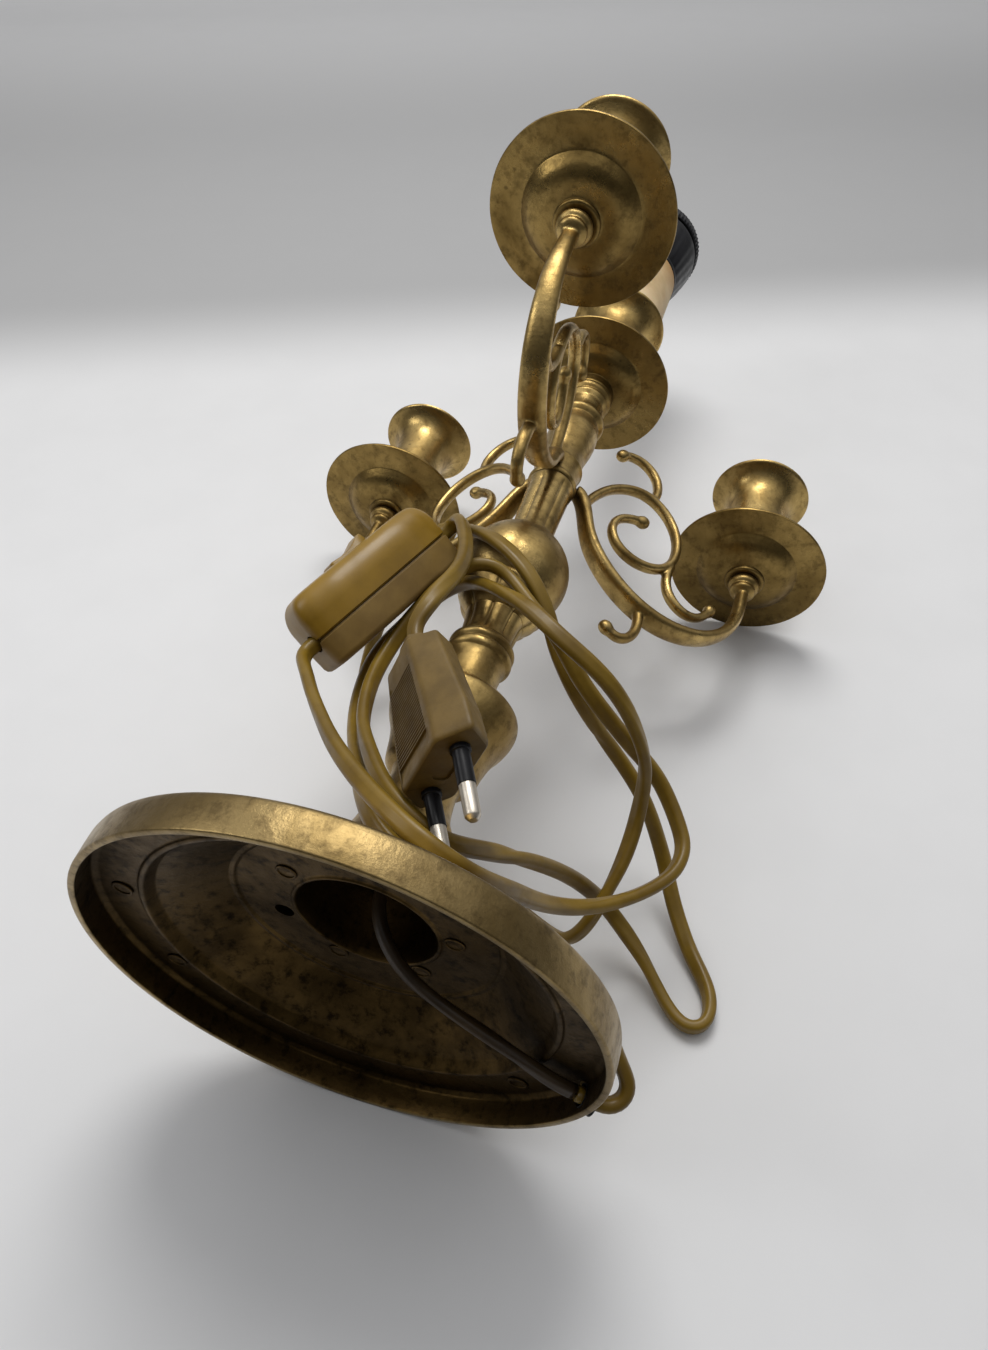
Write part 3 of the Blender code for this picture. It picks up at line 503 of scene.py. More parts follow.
stack("vis_top_neck", "top_neck",
      cr([(9.2, 258), (9.0, 256.8), (8.0, 255.6)], 3) + cr([(8.3, 254.6), (8.6, 253.8), (8.1, 252.8)], 3) +
      cr([(7.4, 251.8), (7.0, 247.5), (7.3, 244.2)], 4) + cr([(8.2, 243.2), (9.8, 242.0), (9.9, 240.2), (9.0, 238.9)], 4) +
      [(8.5, 238.4)] + cr([(8.9, 235.6), (9.4, 232), (9.2, 226), (8.3, 219.6), (7.9, 216.4), (8.2, 212.4), (8.3, 211)], 4))

# ------------------------------------------------------------- pans and cups


def pan_prof(bore, foot_r, foot_z):
    return cr([(PAN_R - 0.1, 1.2), (PAN_R, 0.6), (PAN_R - 0.2, 0.0)], 2) + [(25, -0.1), (20.4, -0.3)] + \
        cr([(19.2, -0.6), (17.8, -2.0), (16.0, -3.5), (13.0, -4.8), (foot_r + 1.0, -5.5)], 5) + \
        [(foot_r, -5.7), (foot_r + 0.1, foot_z + 1.0), (foot_r - 0.15, foot_z + 0.3), (foot_r - 0.8, foot_z), (bore, foot_z), (bore, -4.0), (10.0, -4.0)] + \
        cr([(13.2, -3.3), (15.6, -2.2), (17.0, -1.0), (18.4, 0.6)], 4) + [(19.8, 0.9), (26, 1.0)]


def pan_mod(seed):
    def f(r, z, t):
        return r - (0.14 * (0.5 + 0.5 * math.sin(3 * t + seed)) + 0.05 * (0.5 + 0.5 * math.sin(11 * t + 2 * seed)) if r > 28 else 0.0)
    return f


def cup_prof(bore):
    return cr([(19.2, CUP_H), (19.75, 47.6), (19.3, 46.7), (17.6, 45.9), (15.4, 44.6), (13.4, 42.6), (12.0, 39.8), (11.35, 36.0), (11.2, 31.0)], 4) + \
        [(11.2, 4.6), (11.5, 4.0), (11.5, 2.4), (11.2, 1.8), (11.2, -1.6), (9.4, -3.9), (bore, -3.95), (bore, -1.6), (10.1, -1.6)] + \
        cr([(10.1, 31.4), (10.3, 36.6), (11.2, 40.6), (12.9, 43.6), (15.0, 45.6), (17.2, 46.9), (18.5, CUP_H - 0.1)], 4)


for i, (k, ang) in enumerate(ARM_ANGLES.items()):
    a = math.radians(ang)
    at = local_at((ARM_REACH * math.cos(a), ARM_REACH * math.sin(a), ARM_PAN_Z))
    swap(lathe("vis_arm_pan_" + k, pan_prof(2.55, 7.5, -7.2), M_PAN_SHADED, at, 128, mod=pan_mod(i * 1.7), cut=0.3), "arm_pan_" + k)
    swap(lathe("vis_arm_cup_" + k, cup_prof(2.55), M_BRASS, at, 96, cut=0.3), "arm_cup_" + k)
top = local_at((0, 0, CENTRE_PAN_Z))
swap(lathe("vis_centre_pan", pan_prof(BORE, 9.2, -10.7), M_PAN_SHADED, top, 128, mod=pan_mod(4.2), cut=0.3), "centre_pan")
swap(lathe("vis_centre_cup", cup_prof(BORE), M_BRASS, top, 96, cut=0.3), "centre_cup")


# -------------------------------------------------------------------- arms
def bspline(pts, n=8):
    p = np.array(pts, float)
    q = np.vstack([p[0], p[0], p, p[-1], p[-1]])
    out = []
    for i in range(1, len(q) - 2):
        for t in np.linspace(0, 1, n, endpoint=False):
            b0 = (1 - t) ** 3 / 6
            b1 = (3 * t ** 3 - 6 * t * t + 4) / 6
            b2 = (-3 * t ** 3 + 3 * t * t + 3 * t + 1) / 6
            b3 = t ** 3 / 6
            out.append(b0 * q[i - 1] + b1 * q[i] + b2 * q[i + 1] + b3 * q[i + 2])
    out.append(p[-1])
    return np.array(out)


class Soup:
    def __init__(self):
        self.v, self.f = [], []

    def rings(self, rings):
        base_i, n = len(self.v), len(rings[0])
        for r in rings:
            self.v += [tuple(p) for p in r]
        for k in range(len(rings) - 1):
            for i in range(n):
                j = (i + 1) % n
                self.f.append((base_i + k * n + i, base_i + k * n + j, base_i + (k + 1) * n + j, base_i + (k + 1) * n + i))
        self.f.append(tuple(base_i + i for i in range(n))[::-1])
        self.f.append(tuple(base_i + (len(rings) - 1) * n + i for i in range(n)))

    def rod(self, path, n=20, square=2.0):
        pts = bspline([(p[0], 0, p[1]) for p in path], 6)
        ab = bspline([(p[2], p[3], 0) for p in path], 6)
        keep = [0] + [i for i in range(1, len(pts)) if np.linalg.norm(pts[i] - pts[i - 1]) > 1e-5]
        pts, ab = pts[keep], ab[keep]
        rings = []
        for i in range(len(pts)):
            t = pts[min(i + 1, len(pts) - 1)] - pts[max(i - 1, 0)]
            t /= np.linalg.norm(t)
            nrm = np.array([-t[2], 0, t[0]])
            ring = []
            for j in range(n):
                f = 2 * math.pi * j / n
                c, s = math.cos(f), math.sin(f)
                c = math.copysign(abs(c) ** (2 / square), c)
                s = math.copysign(abs(s) ** (2 / square), s)
                ring.append(pts[i] + ab[i][0] * c * nrm + np.array([0, ab[i][1] * s, 0]))
            rings.append(ring)
        self.rings(rings)

    def ball(self, rho, z, r, y=0.0):
        rings = []
        for k in range(1, 12):
            a = math.pi * k / 12 - math.pi / 2
            rings.append([(rho + r * math.cos(a) * math.cos(b), y + r * math.cos(a) * math.sin(b), z + r * math.sin(a))
                          for b in np.linspace(0, 2 * math.pi, 20, endpoint=False)])
        self.rings(rings)

    def turn(self, rho, prof, n=40):
        rings = [[(rho + r * math.cos(b), r * math.sin(b), z) for b in np.linspace(0, 2 * math.pi, n, endpoint=False)]
                 for r, z in prof]
        self.rings(rings)


MAIN = [(8.8, 204.9, 2.5, 3.0), (10.8, 204.8, 2.5, 3.2), (14.4, 200.0, 2.4, 3.6), (17.4, 191.0, 2.2, 4.0),
        (21.2, 184.0, 2.2, 4.3), (29.0, 176.4, 2.3, 4.5), (40.0, 170.4, 2.4, 4.6), (53.0, 168.2, 2.5, 4.6),
        (66.0, 171.0, 2.4, 4.4), (77.0, 178.6, 2.3, 4.0), (84.0, 190.0, 2.2, 3.4), (85.5, 202.0, 2.1, 2.9),
        (85.5, 213.5, 2.2, 2.6)]
RING = [(13.6, 200.0, 1.8, 2.1), (15.6, 208.0, 1.8, 2.2), (21.0, 218.6, 1.8, 2.3), (29.5, 226.0, 1.8, 2.3),
        (37.6, 228.2, 1.8, 2.3), (46.5, 225.0, 1.8, 2.3), (53.0, 217.0, 1.8, 2.3), (54.8, 207.0, 1.8, 2.3),
        (52.6, 197.6, 1.8, 2.3), (46.0, 191.8, 1.8, 2.3), (37.5, 190.0, 1.8, 2.3), (30.0, 192.6, 1.8, 2.2),
        (26.2, 199.0, 1.7, 2.1), (27.4, 206.0, 1.7, 2.0), (32.6, 210.6, 1.6, 1.9), (37.4, 212.4, 1.7, 1.9)]
TAIL = [(53.6, 200.0, 1.8, 2.1), (52.4, 191.0, 1.8, 2.2), (56.0, 184.0, 1.8, 2.2), (63.0, 180.8, 1.7, 2.1),
        (69.8, 183.4, 1.6, 1.9), (73.1, 190.6, 1.7, 1.9)]
CURL_UP = [(39.2, 227.0, 1.8, 2.1), (40.6, 234.0, 1.8, 2.2), (37.6, 241.6, 1.8, 2.1), (30.6, 245.0, 1.7, 2.0),
           (24.0, 243.0, 1.6, 1.9), (21.4, 240.6, 1.7, 1.9)]
CURL_DOWN = [(45.4, 170.0, 1.8, 2.1), (47.4, 163.0, 1.8, 2.2), (46.0, 155.6, 1.8, 2.1), (41.4, 151.6, 1.7, 2.0),
             (36.2, 153.4, 1.7, 1.9)]
soup = Soup()
soup.rod(MAIN, 28, 2.3)
for p in (RING, TAIL, CURL_UP, CURL_DOWN):
    soup.rod(p, 18)
# knobs: slightly drawn out along the end of each curl
for rho, z, r, dr, dz in ((37.6, 212.5, 2.5, 0.9, 0.3), (73.2, 190.9, 2.4, 0.2, 0.9), (21.6, 240.6, 2.5, -0.7, -0.6),
                          (36.2, 153.6, 2.5, -0.8, 0.4)):
    soup.ball(rho - dr, z - dz, r * 0.9)
    soup.ball(rho, z, r)
    soup.ball(rho + dr * 0.6, z + dz * 0.6, r * 0.93)
# stepped seat under the pan, threaded stud above it
soup.turn(ARM_REACH, [(2.4, 209.9), (3.8, 210.5), (4.7, 211.1), (4.9, 211.9), (4.7, 212.7), (4.3, 213.2), (5.3, 213.5), (5.8, 214.1),
                      (6.0, 214.9), (5.8, 215.7), (5.2, 216.2), (5.4, 216.5), (5.5, 216.9)])
soup.turn(ARM_REACH, [(2.4, 212.0), (2.4, 226.0), (2.0, 226.4)], 24)
arm_src = make("arm_src", soup.v, soup.f, M_BRASS, None, None, None)
rm = arm_src.modifiers.new("remesh", "REMESH")
rm.mode = "VOXEL"
rm.voxel_size = 0.00042
rm.use_smooth_shade = True
sm = arm_src.modifiers.new("soften", "SMOOTH")
sm.factor = 0.5
sm.iterations = 5
bpy.context.view_layer.update()
dg = bpy.context.evaluated_depsgraph_get()
for k, ang in ARM_ANGLES.items():
    me = bpy.data.meshes.new_from_object(arm_src.evaluated_get(dg))
    me.transform(WORLD @ Matrix.Rotation(math.radians(ang), 4, "Z"))
    ob = bpy.data.objects.new("vis_arm_" + k, me)
    sc.collection.objects.link(ob)
    me.materials.clear()
    me.materials.append(M_BRASS)
    me.shade_smooth()
    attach(ob, "stand")
    swap(ob, "arm_" + k)
bpy.data.objects.remove(arm_src)

# --------------------------------------------------- sleeve and lampholder
swap(lathe("vis_candle_sleeve", [(16.5, 363.0), (16.5, 340), (16.45, 315.85), (15.4, 315.85), (15.4, 363.0)], M_CREAM, steps=96,
           cut=0.4), "candle_sleeve")


def ribs(n, depth, z0, z1, rmin):
    def f(r, z, t):
        if r < rmin or not z0 < z < z1:
            return r
        return r - depth * (0.5 - 0.5 * math.cos(n * t))
    return f


swap(lathe("vis_lampholder_body", [(20.8, 391.4), (21.6, 390.6), (21.7, 388.8), (21.3, 385.6), (20.4, 380.0), (18.9, 373.0), (17.2, 366.6), (16.7, 365.6), (16.7, 363.1),
                                   (15.1, 363.1), (15.1, 353.0), (5.0, 353.0), (5.0, 366.0), (3.2, 366.0), (3.2, 372.0), (14.3, 372.0),
                                   (14.3, 391.4)], M_BLACK, steps=192, mod=ribs(28, 0.22, 366.4, 388.6, 16.9), cut=0.3),
     "lampholder_body")
shell = [(16.4, 410.8), (17.2, 410.8)]
z = 409.6
while z > 400.6:
    shell += [(17.6, z), (17.6, z - 0.7), (17.15, z - 1.1), (17.15, z - 1.5)]
    z -= 2.0
shell += [(17.6, 400.0), (17.6, 391.6), (13.9, 391.6), (13.9, 376.0), (12.9, 376.0), (12.9, 392.6), (16.4, 392.6)]
swap(lathe("vis_lampholder_shell", shell, M_BLACK, steps=96, cut=0.25), "lampholder_shell")
swap(lathe("vis_shade_ring", [(18.1, 399.2), (20.6, 399.2), (22.0, 398.8), (22.6, 397.8), (22.6, 394.2), (21.8, 392.6), (18.1, 392.4)], M_BLACK,
           steps=432, mod=ribs(72, 0.5, 393.2, 398.6, 21.2), body="ring", cut=0.3), "shade_ring")
sockp = [(12.6, 406.0)]
for k in range(8):
    z = 404.6 - k * 2.6
    sockp += [(12.6, z), (12.35, z - 0.8), (12.35, z - 1.4), (12.6, z - 2.1)]
sockp += [(12.6, 376.4), (12.2, 376.4)]
for k in range(7, -1, -1):
    z = 404.6 - k * 2.6
    sockp += [(12.2, z - 2.1), (11.9, z - 1.4), (11.9, z - 0.8), (12.2, z)]
sockp += [(12.2, 406.0)]
swap(lathe("vis_socket_shell", sockp, M_SOCKET, steps=72, cut=0.3), "socket_screw_shell")
swap(lathe("vis_contact_block", [(0, 378.4), (5.0, 378.4), (6.0, 376.3), (12.6, 376.0), (12.6, 372.3), (0, 372.3)], M_CERAMIC, steps=64,
           closed=False), "contact_block")
swap(lathe("vis_centre_contact", cr([(0, 382.4), (1.6, 382.2), (2.8, 381.2), (3.3, 379.6), (3.4, 378.6)], 4) + [(0, 378.6)], M_SOCKET, steps=40,
           closed=False, cut=0.1), "centre_contact")

# ------------------------------------------------------------------- switch
E1 = Vector((0.9214, -0.3756, 0.1001)).normalized()
N1 = Vector((0.2354, 0.7442, 0.6251))
N1 = (N1 - N1.dot(E1) * E1).normalized()
W1 = N1.cross(E1)
SW = frame_at(Vector((119.0 + SHIFT_X, 34.4, 80.9 + SHIFT_Z)), E1, W1, N1)
SW_HALF, SW_WIDE, SW_TOP, SW_BOT = 28.0, 12.0, 14.0, -9.6


def round_poly(pts, rad, n=5):
    out = []
    m = len(pts)
    for i in range(m):
        a, b, c = (np.array(pts[j % m], float) for j in (i - 1, i, i + 1))
        la, lc = np.linalg.norm(a - b), np.linalg.norm(c - b)
        k = min(rad, 0.45 * la, 0.45 * lc)
        s, e = b + (a - b) * k / la, b + (c - b) * k / lc
        for t in np.linspace(0, 1, n):
            out.append(tuple((1 - t) ** 2 * s + 2 * t * (1 - t) * b + t * t * e))
    return out


def plan(inset, z):
    l, w = SW_HALF - inset, SW_WIDE - inset
    pts = [(-l, -w * 0.57), (-l * 0.85, -w * 0.82), (-l * 0.52, -w), (l * 0.52, -w), (l * 0.85, -w * 0.82), (l, -w * 0.57),
           (l, w * 0.57), (l * 0.85, w * 0.82), (l * 0.52, w), (-l * 0.52, w), (-l * 0.85, w * 0.82), (-l, w * 0.57)]
    return [(x, y, z) for x, y in round_poly(pts, 2.6)]


def loft(name, rings, mats, world, body="stand"):
    s = Soup()
    s.rings(rings)
    ob = make(name, s.v, s.f, mats, world, None, body)
    return ob


def arc_rings(z0, z1, r):
    """Domed shoulder from the straight side to the flat top."""
    out = []
    for k in range(1, 13):
        a = math.pi / 2 * k / 12
        out.append(plan(r * (1 - math.cos(a)), z0 + (z1 - z0) * math.sin(a)))
    return out


low = loft("vis_switch_lower", [plan(2.6, SW_BOT), plan(1.5, SW_BOT + 0.25), plan(0.7, SW_BOT + 0.9), plan(0.3, SW_BOT + 2.0),
                                plan(0.05, -0.7), plan(0.55, -0.5), plan(0.6, -0.15), plan(1.3, -0.15), plan(1.3, 1.1)], M_SW_LOW, SW)
topsh = loft("vis_switch_top", [plan(0.6, 0.15), plan(0.5, 0.4), plan(0.0, 0.6), plan(0.0, 5.4)] + arc_rings(5.4, SW_TOP - 0.25, 5.2) +
             [plan(6.4, SW_TOP)], M_SW_TOP, SW)
cav = loft("cav_lo", [plan(2.2, SW_BOT + 1.8), plan(1.8, 3.0)], M_SW_LOW, SW, None)
cut_by(low, cav)
bpy.data.objects.remove(cav)
cav = loft("cav_hi", [plan(1.8, -3.0), plan(2.0, 6.0), plan(5.2, 11.4)], M_SW_LOW, SW, None)
cut_by(topsh, cav)
bpy.data.objects.remove(cav)
cav = loft("rebate", [plan(1.15, -3.0), plan(1.15, 1.4)], M_SW_LOW, SW, None)
cut_by(topsh, cav)
bpy.data.objects.remove(cav)
well = round_poly([(-7.95, -4.45), (7.95, -4.45), (7.95, 4.45), (-7.95, 4.45)], 0.8)
w_ob = loft("well", [[(x, y, 2.0) for x, y in well], [(x, y, 18.0) for x, y in well]], M_SW_TOP, SW, None)
cut_by(topsh, w_ob)
bpy.data.objects.remove(w_ob)
# shallow dished surround of the rocker
d_ob = loft("dish", [[(x * 1.12, y * 1.12, 13.3) for x, y in well], [(x * 1.3, y * 1.3, 14.4) for x, y in well]], M_SW_TOP, SW, None)
cut_by(topsh, d_ob)
bpy.data.objects.remove(d_ob)
ENTRY_A, ENTRY_B = (-SW_HALF, -3.2), (SW_HALF, -2.0)
for ex, ey in (ENTRY_A, ENTRY_B):
    c = solid_cyl("notch", 2.9, 9, SW @ Matrix.Translation(Vector((ex, ey, 0)) * MM) @ Matrix.Rotation(math.pi / 2, 4, "Y"))
    cut_by(low, c)
    cut_by(topsh, c)
    bpy.data.objects.remove(c)
for o, n in ((low, "switch_lower_shell"), (topsh, "switch_top_shell")):
    o.data.shade_smooth()
    bv = o.modifiers.new("edge", "BEVEL")
    bv.width, bv.segments, bv.limit_method, bv.angle_limit = 0.00025, 2, "ANGLE", math.radians(40)
    wn = o.modifiers.new("wn", "WEIGHTED_NORMAL")
    wn.keep_sharp = True
    swap(o, n)
RK_Z, RK_W = 9.8, 8.0
rk = []
for k in range(25):
    a = math.radians(202 + k * (338 - 202) / 24)
    rk.append((7.2 * math.cos(a), 7.2 * math.sin(a) * 0.86))
rk += [(7.3, 4.0), (6.9, 5.8), (6.2, 6.1), (2.5, 5.2), (0.0, 5.0), (-2.5, 5.2), (-6.2, 6.1), (-6.9, 5.8), (-7.3, 4.0)]
RKM = SW @ Matrix.Translation(Vector((0, 0, RK_Z)) * MM) @ Matrix.Rotation(math.radians(-8.0), 4, "Y")
rocker = loft("vis_switch_rocker", [[(x * 0.97, y0, y * 0.97) for x, y in rk] if abs(y0) > 3.8 else [(x, y0, y) for x, y in rk]
                                    for y0 in (-4.0, -3.7, -2.0, 0.0, 2.0, 3.7, 4.0)], M_SW_TOP, RKM, "rocker")
swap(rocker, "switch_rocker")

# --------------------------------------------------------------------- plug
PZ = Vector((-0.882, -0.461, -0.101)).normalized()
PX = Vector((0.092, -0.378, 0.921))
PX = (PX - PX.dot(PZ) * PZ).normalized()
PY = PZ.cross(PX)
PL = frame_at(Vector((46.2 + SHIFT_X, -12.6, 98.3 + SHIFT_Z)), PX, PY, PZ)
FACE = [(17.6, 0.0), (11.0, 6.9), (-11.0, 6.9), (-17.6, 0.0), (-11.0, -6.9), (11.0, -6.9)]
KEYS = [(0.0, 0.955, 0.91, 0), (-0.25, 0.975, 0.955, 0), (-0.7, 0.99, 0.985, 0), (-1.4, 1.0, 1.0, 0), (-9.0, 0.99, 1.0, -0.5),
        (-21.0, 0.86, 0.96, -1.5), (-31.0, 0.745, 0.93, -2.2), (-34.6, 0.71, 0.905, -2.5), (-35.6, 0.69, 0.87, -2.55), (-36.2, 0.64, 0.80, -2.6),
        (-36.45, 0.58, 0.72, -2.6), (-36.5, 0.36, 0.70, -2.6), (-37.2, 0.33, 0.66, -2.6), (-41.4, 0.25, 0.50, -2.6)]
face_round = []
for x, y in round_poly(FACE, 1.3, 6):
    face_round.append((x, y))
# extra points along the two long flats carry the grip ribs
ribbed = []
n_f = len(face_round)
for i in range(n_f):
    a, b = face_round[i], face_round[(i + 1) % n_f]
    ribbed.append((a[0], a[1], 0.0))
    if abs(a[0] - b[0]) > 12:
        sgn = 1 if b[0] > a[0] else -1
        for x in ([-10.4, -9.9, -3.5, 7.8, 8.3] if sgn > 0 else [8.3, 7.8, -3.5, -9.9, -10.4]):
            ribbed.append((x, a[1], 1.0 if -10.0 < x < 8.0 else 0.0))
prings = []
RIB_Z = [round(-5.4 - 0.16 * k, 3) for k in range(145)]
zs = sorted(set([k[0] for k in KEYS] + RIB_Z), reverse=True)
kz = [k[0] for k in KEYS][::-1]
for z in zs:
    sx, sy, dx = (float(np.interp(z, kz, [k[c] for k in KEYS][::-1])) for c in (1, 2, 3))
    dip = 0.0
    if z in RIB_Z:
        dip = 0.62 if (RIB_Z.index(z) // 3) % 2 == 0 else 0.0
    prings.append([(x * sx + dx, y * sy - math.copysign(dip * w, y), z) for x, y, w in ribbed])
plug = loft("vis_plug_body", prings, M_PLUG, PL)
for i, s in enumerate((1, -1)):
    pc = solid_cyl("pc", 2.15, 9.0, PL @ Matrix.Translation(Vector((s * 9.3, 0, 0.6)) * MM) @
                   Matrix.Rotation(-s * math.radians(1.35), 4, "Y"))
    cut_by(plug, pc)
    bpy.data.objects.remove(pc)
sock = round_poly([(-4.2, -2.2), (4.2, -2.2), (4.2, 2.2), (-4.2, 2.2)], 2.0)
r_ob = loft("recess", [[(x, y, -0.5) for x, y in sock], [(x, y, 1.0) for x, y in sock]], M_PLUG, PL, None)
cut_by(plug, r_ob)
bpy.data.objects.remove(r_ob)
bv = plug.modifiers.new("edge", "BEVEL")
bv.width, bv.segments, bv.limit_method, bv.angle_limit = 0.0001, 1, "ANGLE", math.radians(50)
plug.data.shade_smooth()
plug.data.set_sharp_from_angle(angle=math.radians(32))
swap(plug, "plug_body")
plug_pieces = [plug]
for i, s in enumerate((1, -1)):
    at = PL @ Matrix.Translation(Vector((s * 9.3, 0, 0)) * MM) @ Matrix.Rotation(-s * math.radians(1.35), 4, "Y")
    p = lathe("vis_plug_pin_%d" % (i + 1), [(0, 19.0), (1.0, 19.0), (1.85, 17.9), (1.95, 16.6), (1.95, -3.6), (0, -3.6)], M_NICKEL, at, 48,
              closed=False, cut=0.25)
    swap(p, "plug_pin_%d" % (i + 1))
    q = lathe("vis_plug_sleeve_%d" % (i + 1), [(2.12, 10.0), (2.12, 1.5), (2.5, 1.3), (2.5, 0.12), (1.97, 0.12), (1.97, 10.0)], M_BLACK, at, 48,
              cut=0.12)
    plug_pieces += [p, q]

# -------------------------------------------------------------------- cords
ROUTE = [(5.3, -64.8, 38.8), (7.5, -68.2, 39.4), (10.8, -68.9, 41.8), (13.2, -66.3, 44.7), (15.9, -63.0, 49.5), (19.5, -58.5, 57.3),
         (24, -50, 66), (28, -37, 73), (28, -21, 81), (28, -6, 88), (35, 3, 89), (50, 12, 80), (68, 22, 70),
         (87, 30, 65), (110, 34, 62), (122, 29, 64), (128, 23, 70), (131, 15, 78), (129, 6, 84), (119, -4, 91),
         (110, -16, 95), (102, -26, 94), (99, -39, 87), (98, -47, 77), (96, -52, 68), (94, -55, 61),
         (93, -56, 54), (87, -56, 42), (77, -55, 36), (68, -52, 29), (61, -49, 23), (57, -44, 15),
         (64, -35, 8), (72, -23, 3), (79, -10, 3), (85, 6, 3), (93, 23, 3), (104, 38, 3), (120, 49, 3),
         (136, 55, 3), (148, 57, 11), (155, 54, 26), (158, 48, 43), (160, 41, 59), (161, 33, 72),
         (157, 24, 80), (150, 14, 86), (141, 4, 92), (134, -6, 91), (128, -13, 88), (122, -19, 81),
         (117, -22, 75), (109, -30, 67), (110, -39, 50), (108, -48, 40), (103, -57, 31), (98, -63, 20),
         (93, -67, 14), (85, -71, 9), (77, -76, 5), (71, -80, 3), (64, -85, 3), (58, -88, 3), (50, -88, 3),
         (47, -82, 3), (53, -75, 3), (63, -67, 7), (70, -56, 14), (72, -50, 20), (69, -41, 33),
         (57, -31, 54), (44, -22, 73), (38, -16, 81), (37, -10, 86), (42, -1, 87), (50, 7, 85), (62, 15, 81),
         (72, 21, 77), (89, 25, 75), (103, 25, 74), (113, 22, 78), (122, 15, 85), (127, 9, 91), (129, 1, 92),
         (128, -5, 89), (121, -12, 88), (114, -19, 88), (110, -25, 85), (105, -32, 76), (102, -43, 65),
         (101, -51, 56), (100, -56, 52), (98, -62, 45), (89, -69, 39), (84, -71, 37), (76, -70, 37),
         (69, -65, 37), (60, -57, 40), (51, -47, 46), (43, -38, 57), (32, -33, 78), (24, -28, 92),
         (23, -19, 100), (28, -8, 101), (38, 5, 97), (50, 18, 93), (62, 27.2, 88.1),
         (70.7, 33.9, 85.5), (79.1, 39.4, 83.7)]


def sw_point(x, y, z=0.0):
    return tuple((SW @ Vector((x * MM, y * MM, z * MM))) / MM)


shift = np.array([SHIFT_X, 0, SHIFT_Z])
exit_run = [tuple((WORLD @ ((edir * rr + Vector((0, 0, EXIT_Z))) * MM)) / MM) for rr in (61.6, 65.4)]
end_a = [sw_point(-SW_HALF - 6, ENTRY_A[1] - 0.6, -0.6), sw_point(-SW_HALF - 2.6, ENTRY_A[1])]
LINE_1 = np.vstack([bspline(exit_run + [tuple(np.array(p) + shift) for p in ROUTE] + end_a, 10),
                    [sw_point(-SW_HALF + 2.0, ENTRY_A[1])]])
rear = PL @ (Vector((-2.6, 0, -41.4)) * MM) / MM
rear2 = PL @ (Vector((-2.6, 0, -47.5)) * MM) / MM
LINE_2 = bspline([sw_point(SW_HALF - 2.0, ENTRY_B[1]), sw_point(SW_HALF + 4, ENTRY_B[1])] +
                 [tuple(np.array(p) + shift) for p in ((149, 18, 90), (144, 15, 93), (135, 11, 95), (123, 7, 98), (111, 5.5, 101.5),
                                               (101, 7, 103.5), (93, 8, 104))] +
                 [tuple(rear2), tuple(rear)], 10)


def resample(q, step):
    seg = np.linalg.norm(np.diff(q, axis=0), axis=1)
    q = q[np.concatenate([[True], seg > 1e-6])]
    seg = np.linalg.norm(np.diff(q, axis=0), axis=1)
    s = np.concatenate([[0], np.cumsum(seg)])
    n = max(8, int(round(s[-1] / step)) + 1)
    u = np.linspace(0, s[-1], n)
    return np.stack([np.interp(u, s, q[:, i]) for i in range(3)], 1), s[-1]


def flat_flex(name, line, wide, thick, mats, twist=0.0, body="stand", phase=0.0):
    """Flat twin flex swept along its line: it bends across its thin side."""
    c, length = resample(line, 1.2)
    n = len(c)
    t = np.gradient(c, axis=0)
    t /= np.linalg.norm(t, axis=1)[:, None]
    k = np.gradient(t, axis=0)
    b = np.cross(t, k)
    # width direction follows the binormal, carried smoothly along the line
    acc = np.zeros((n, 3))
    last = None
    for i in range(n):
        v = b[i]
        if last is not None and v @ last < 0:
            v = -v
        if np.linalg.norm(v) > 1e-5:
            last = v / np.linalg.norm(v)
        acc[i] = v if last is not None else (0, 0, 1e-4)
    w = np.hanning(61)
    sm_ = np.stack([np.convolve(np.pad(acc[:, i], 30, mode="edge"), w / w.sum(), "valid") for i in range(3)], 1)
    rings = []
    prev = None
    for i in range(n):
        v = sm_[i] - (sm_[i] @ t[i]) * t[i]
        if np.linalg.norm(v) < 1e-6:
            v = prev if prev is not None else np.cross(t[i], (0, 0, 1.0))
        v = v / np.linalg.norm(v)
        if prev is not None:
            pv = prev - (prev @ t[i]) * t[i]
            pv /= np.linalg.norm(pv)
            if v @ pv < 0:
                v = -v
            v = 0.12 * v + 0.88 * pv
            v /= np.linalg.norm(v)
        prev = v
        h = np.cross(t[i], v)
        ring = []
        for j in range(28):
            f = 2 * math.pi * j / 28
            x, y = math.cos(f), math.sin(f)
            e = 2.5
            x = math.copysign(abs(x) ** (2 / e), x)
            y = math.copysign(abs(y) ** (2 / e), y)
            waist = 1.0 - 0.10 * math.exp(-(x / 0.20) ** 2)
            ring.append(c[i] + v * x * wide / 2 + h * y * waist * thick / 2)
        rings.append(ring)
    s = Soup()
    s.rings(rings)
    ob = make(name, s.v, s.f, mats, None, None, body)
    pick = np.round(np.linspace(0, n - 1, (n - 1) // 3 + 1)).astype(int)
    return ob, [tuple(c[i] * MM) for i in pick], length * MM


WIDE, THICK = 4.9, 3.7
lead1, path1, len1 = flat_flex("vis_mains_lead_1", LINE_1, WIDE, THICK, M_CORD)
swap(lead1, "mains_lead_1")
lead2, path2, len2 = flat_flex("vis_mains_lead_2", LINE_2, WIDE, THICK, M_CORD)
swap(lead2, "mains_lead_2")

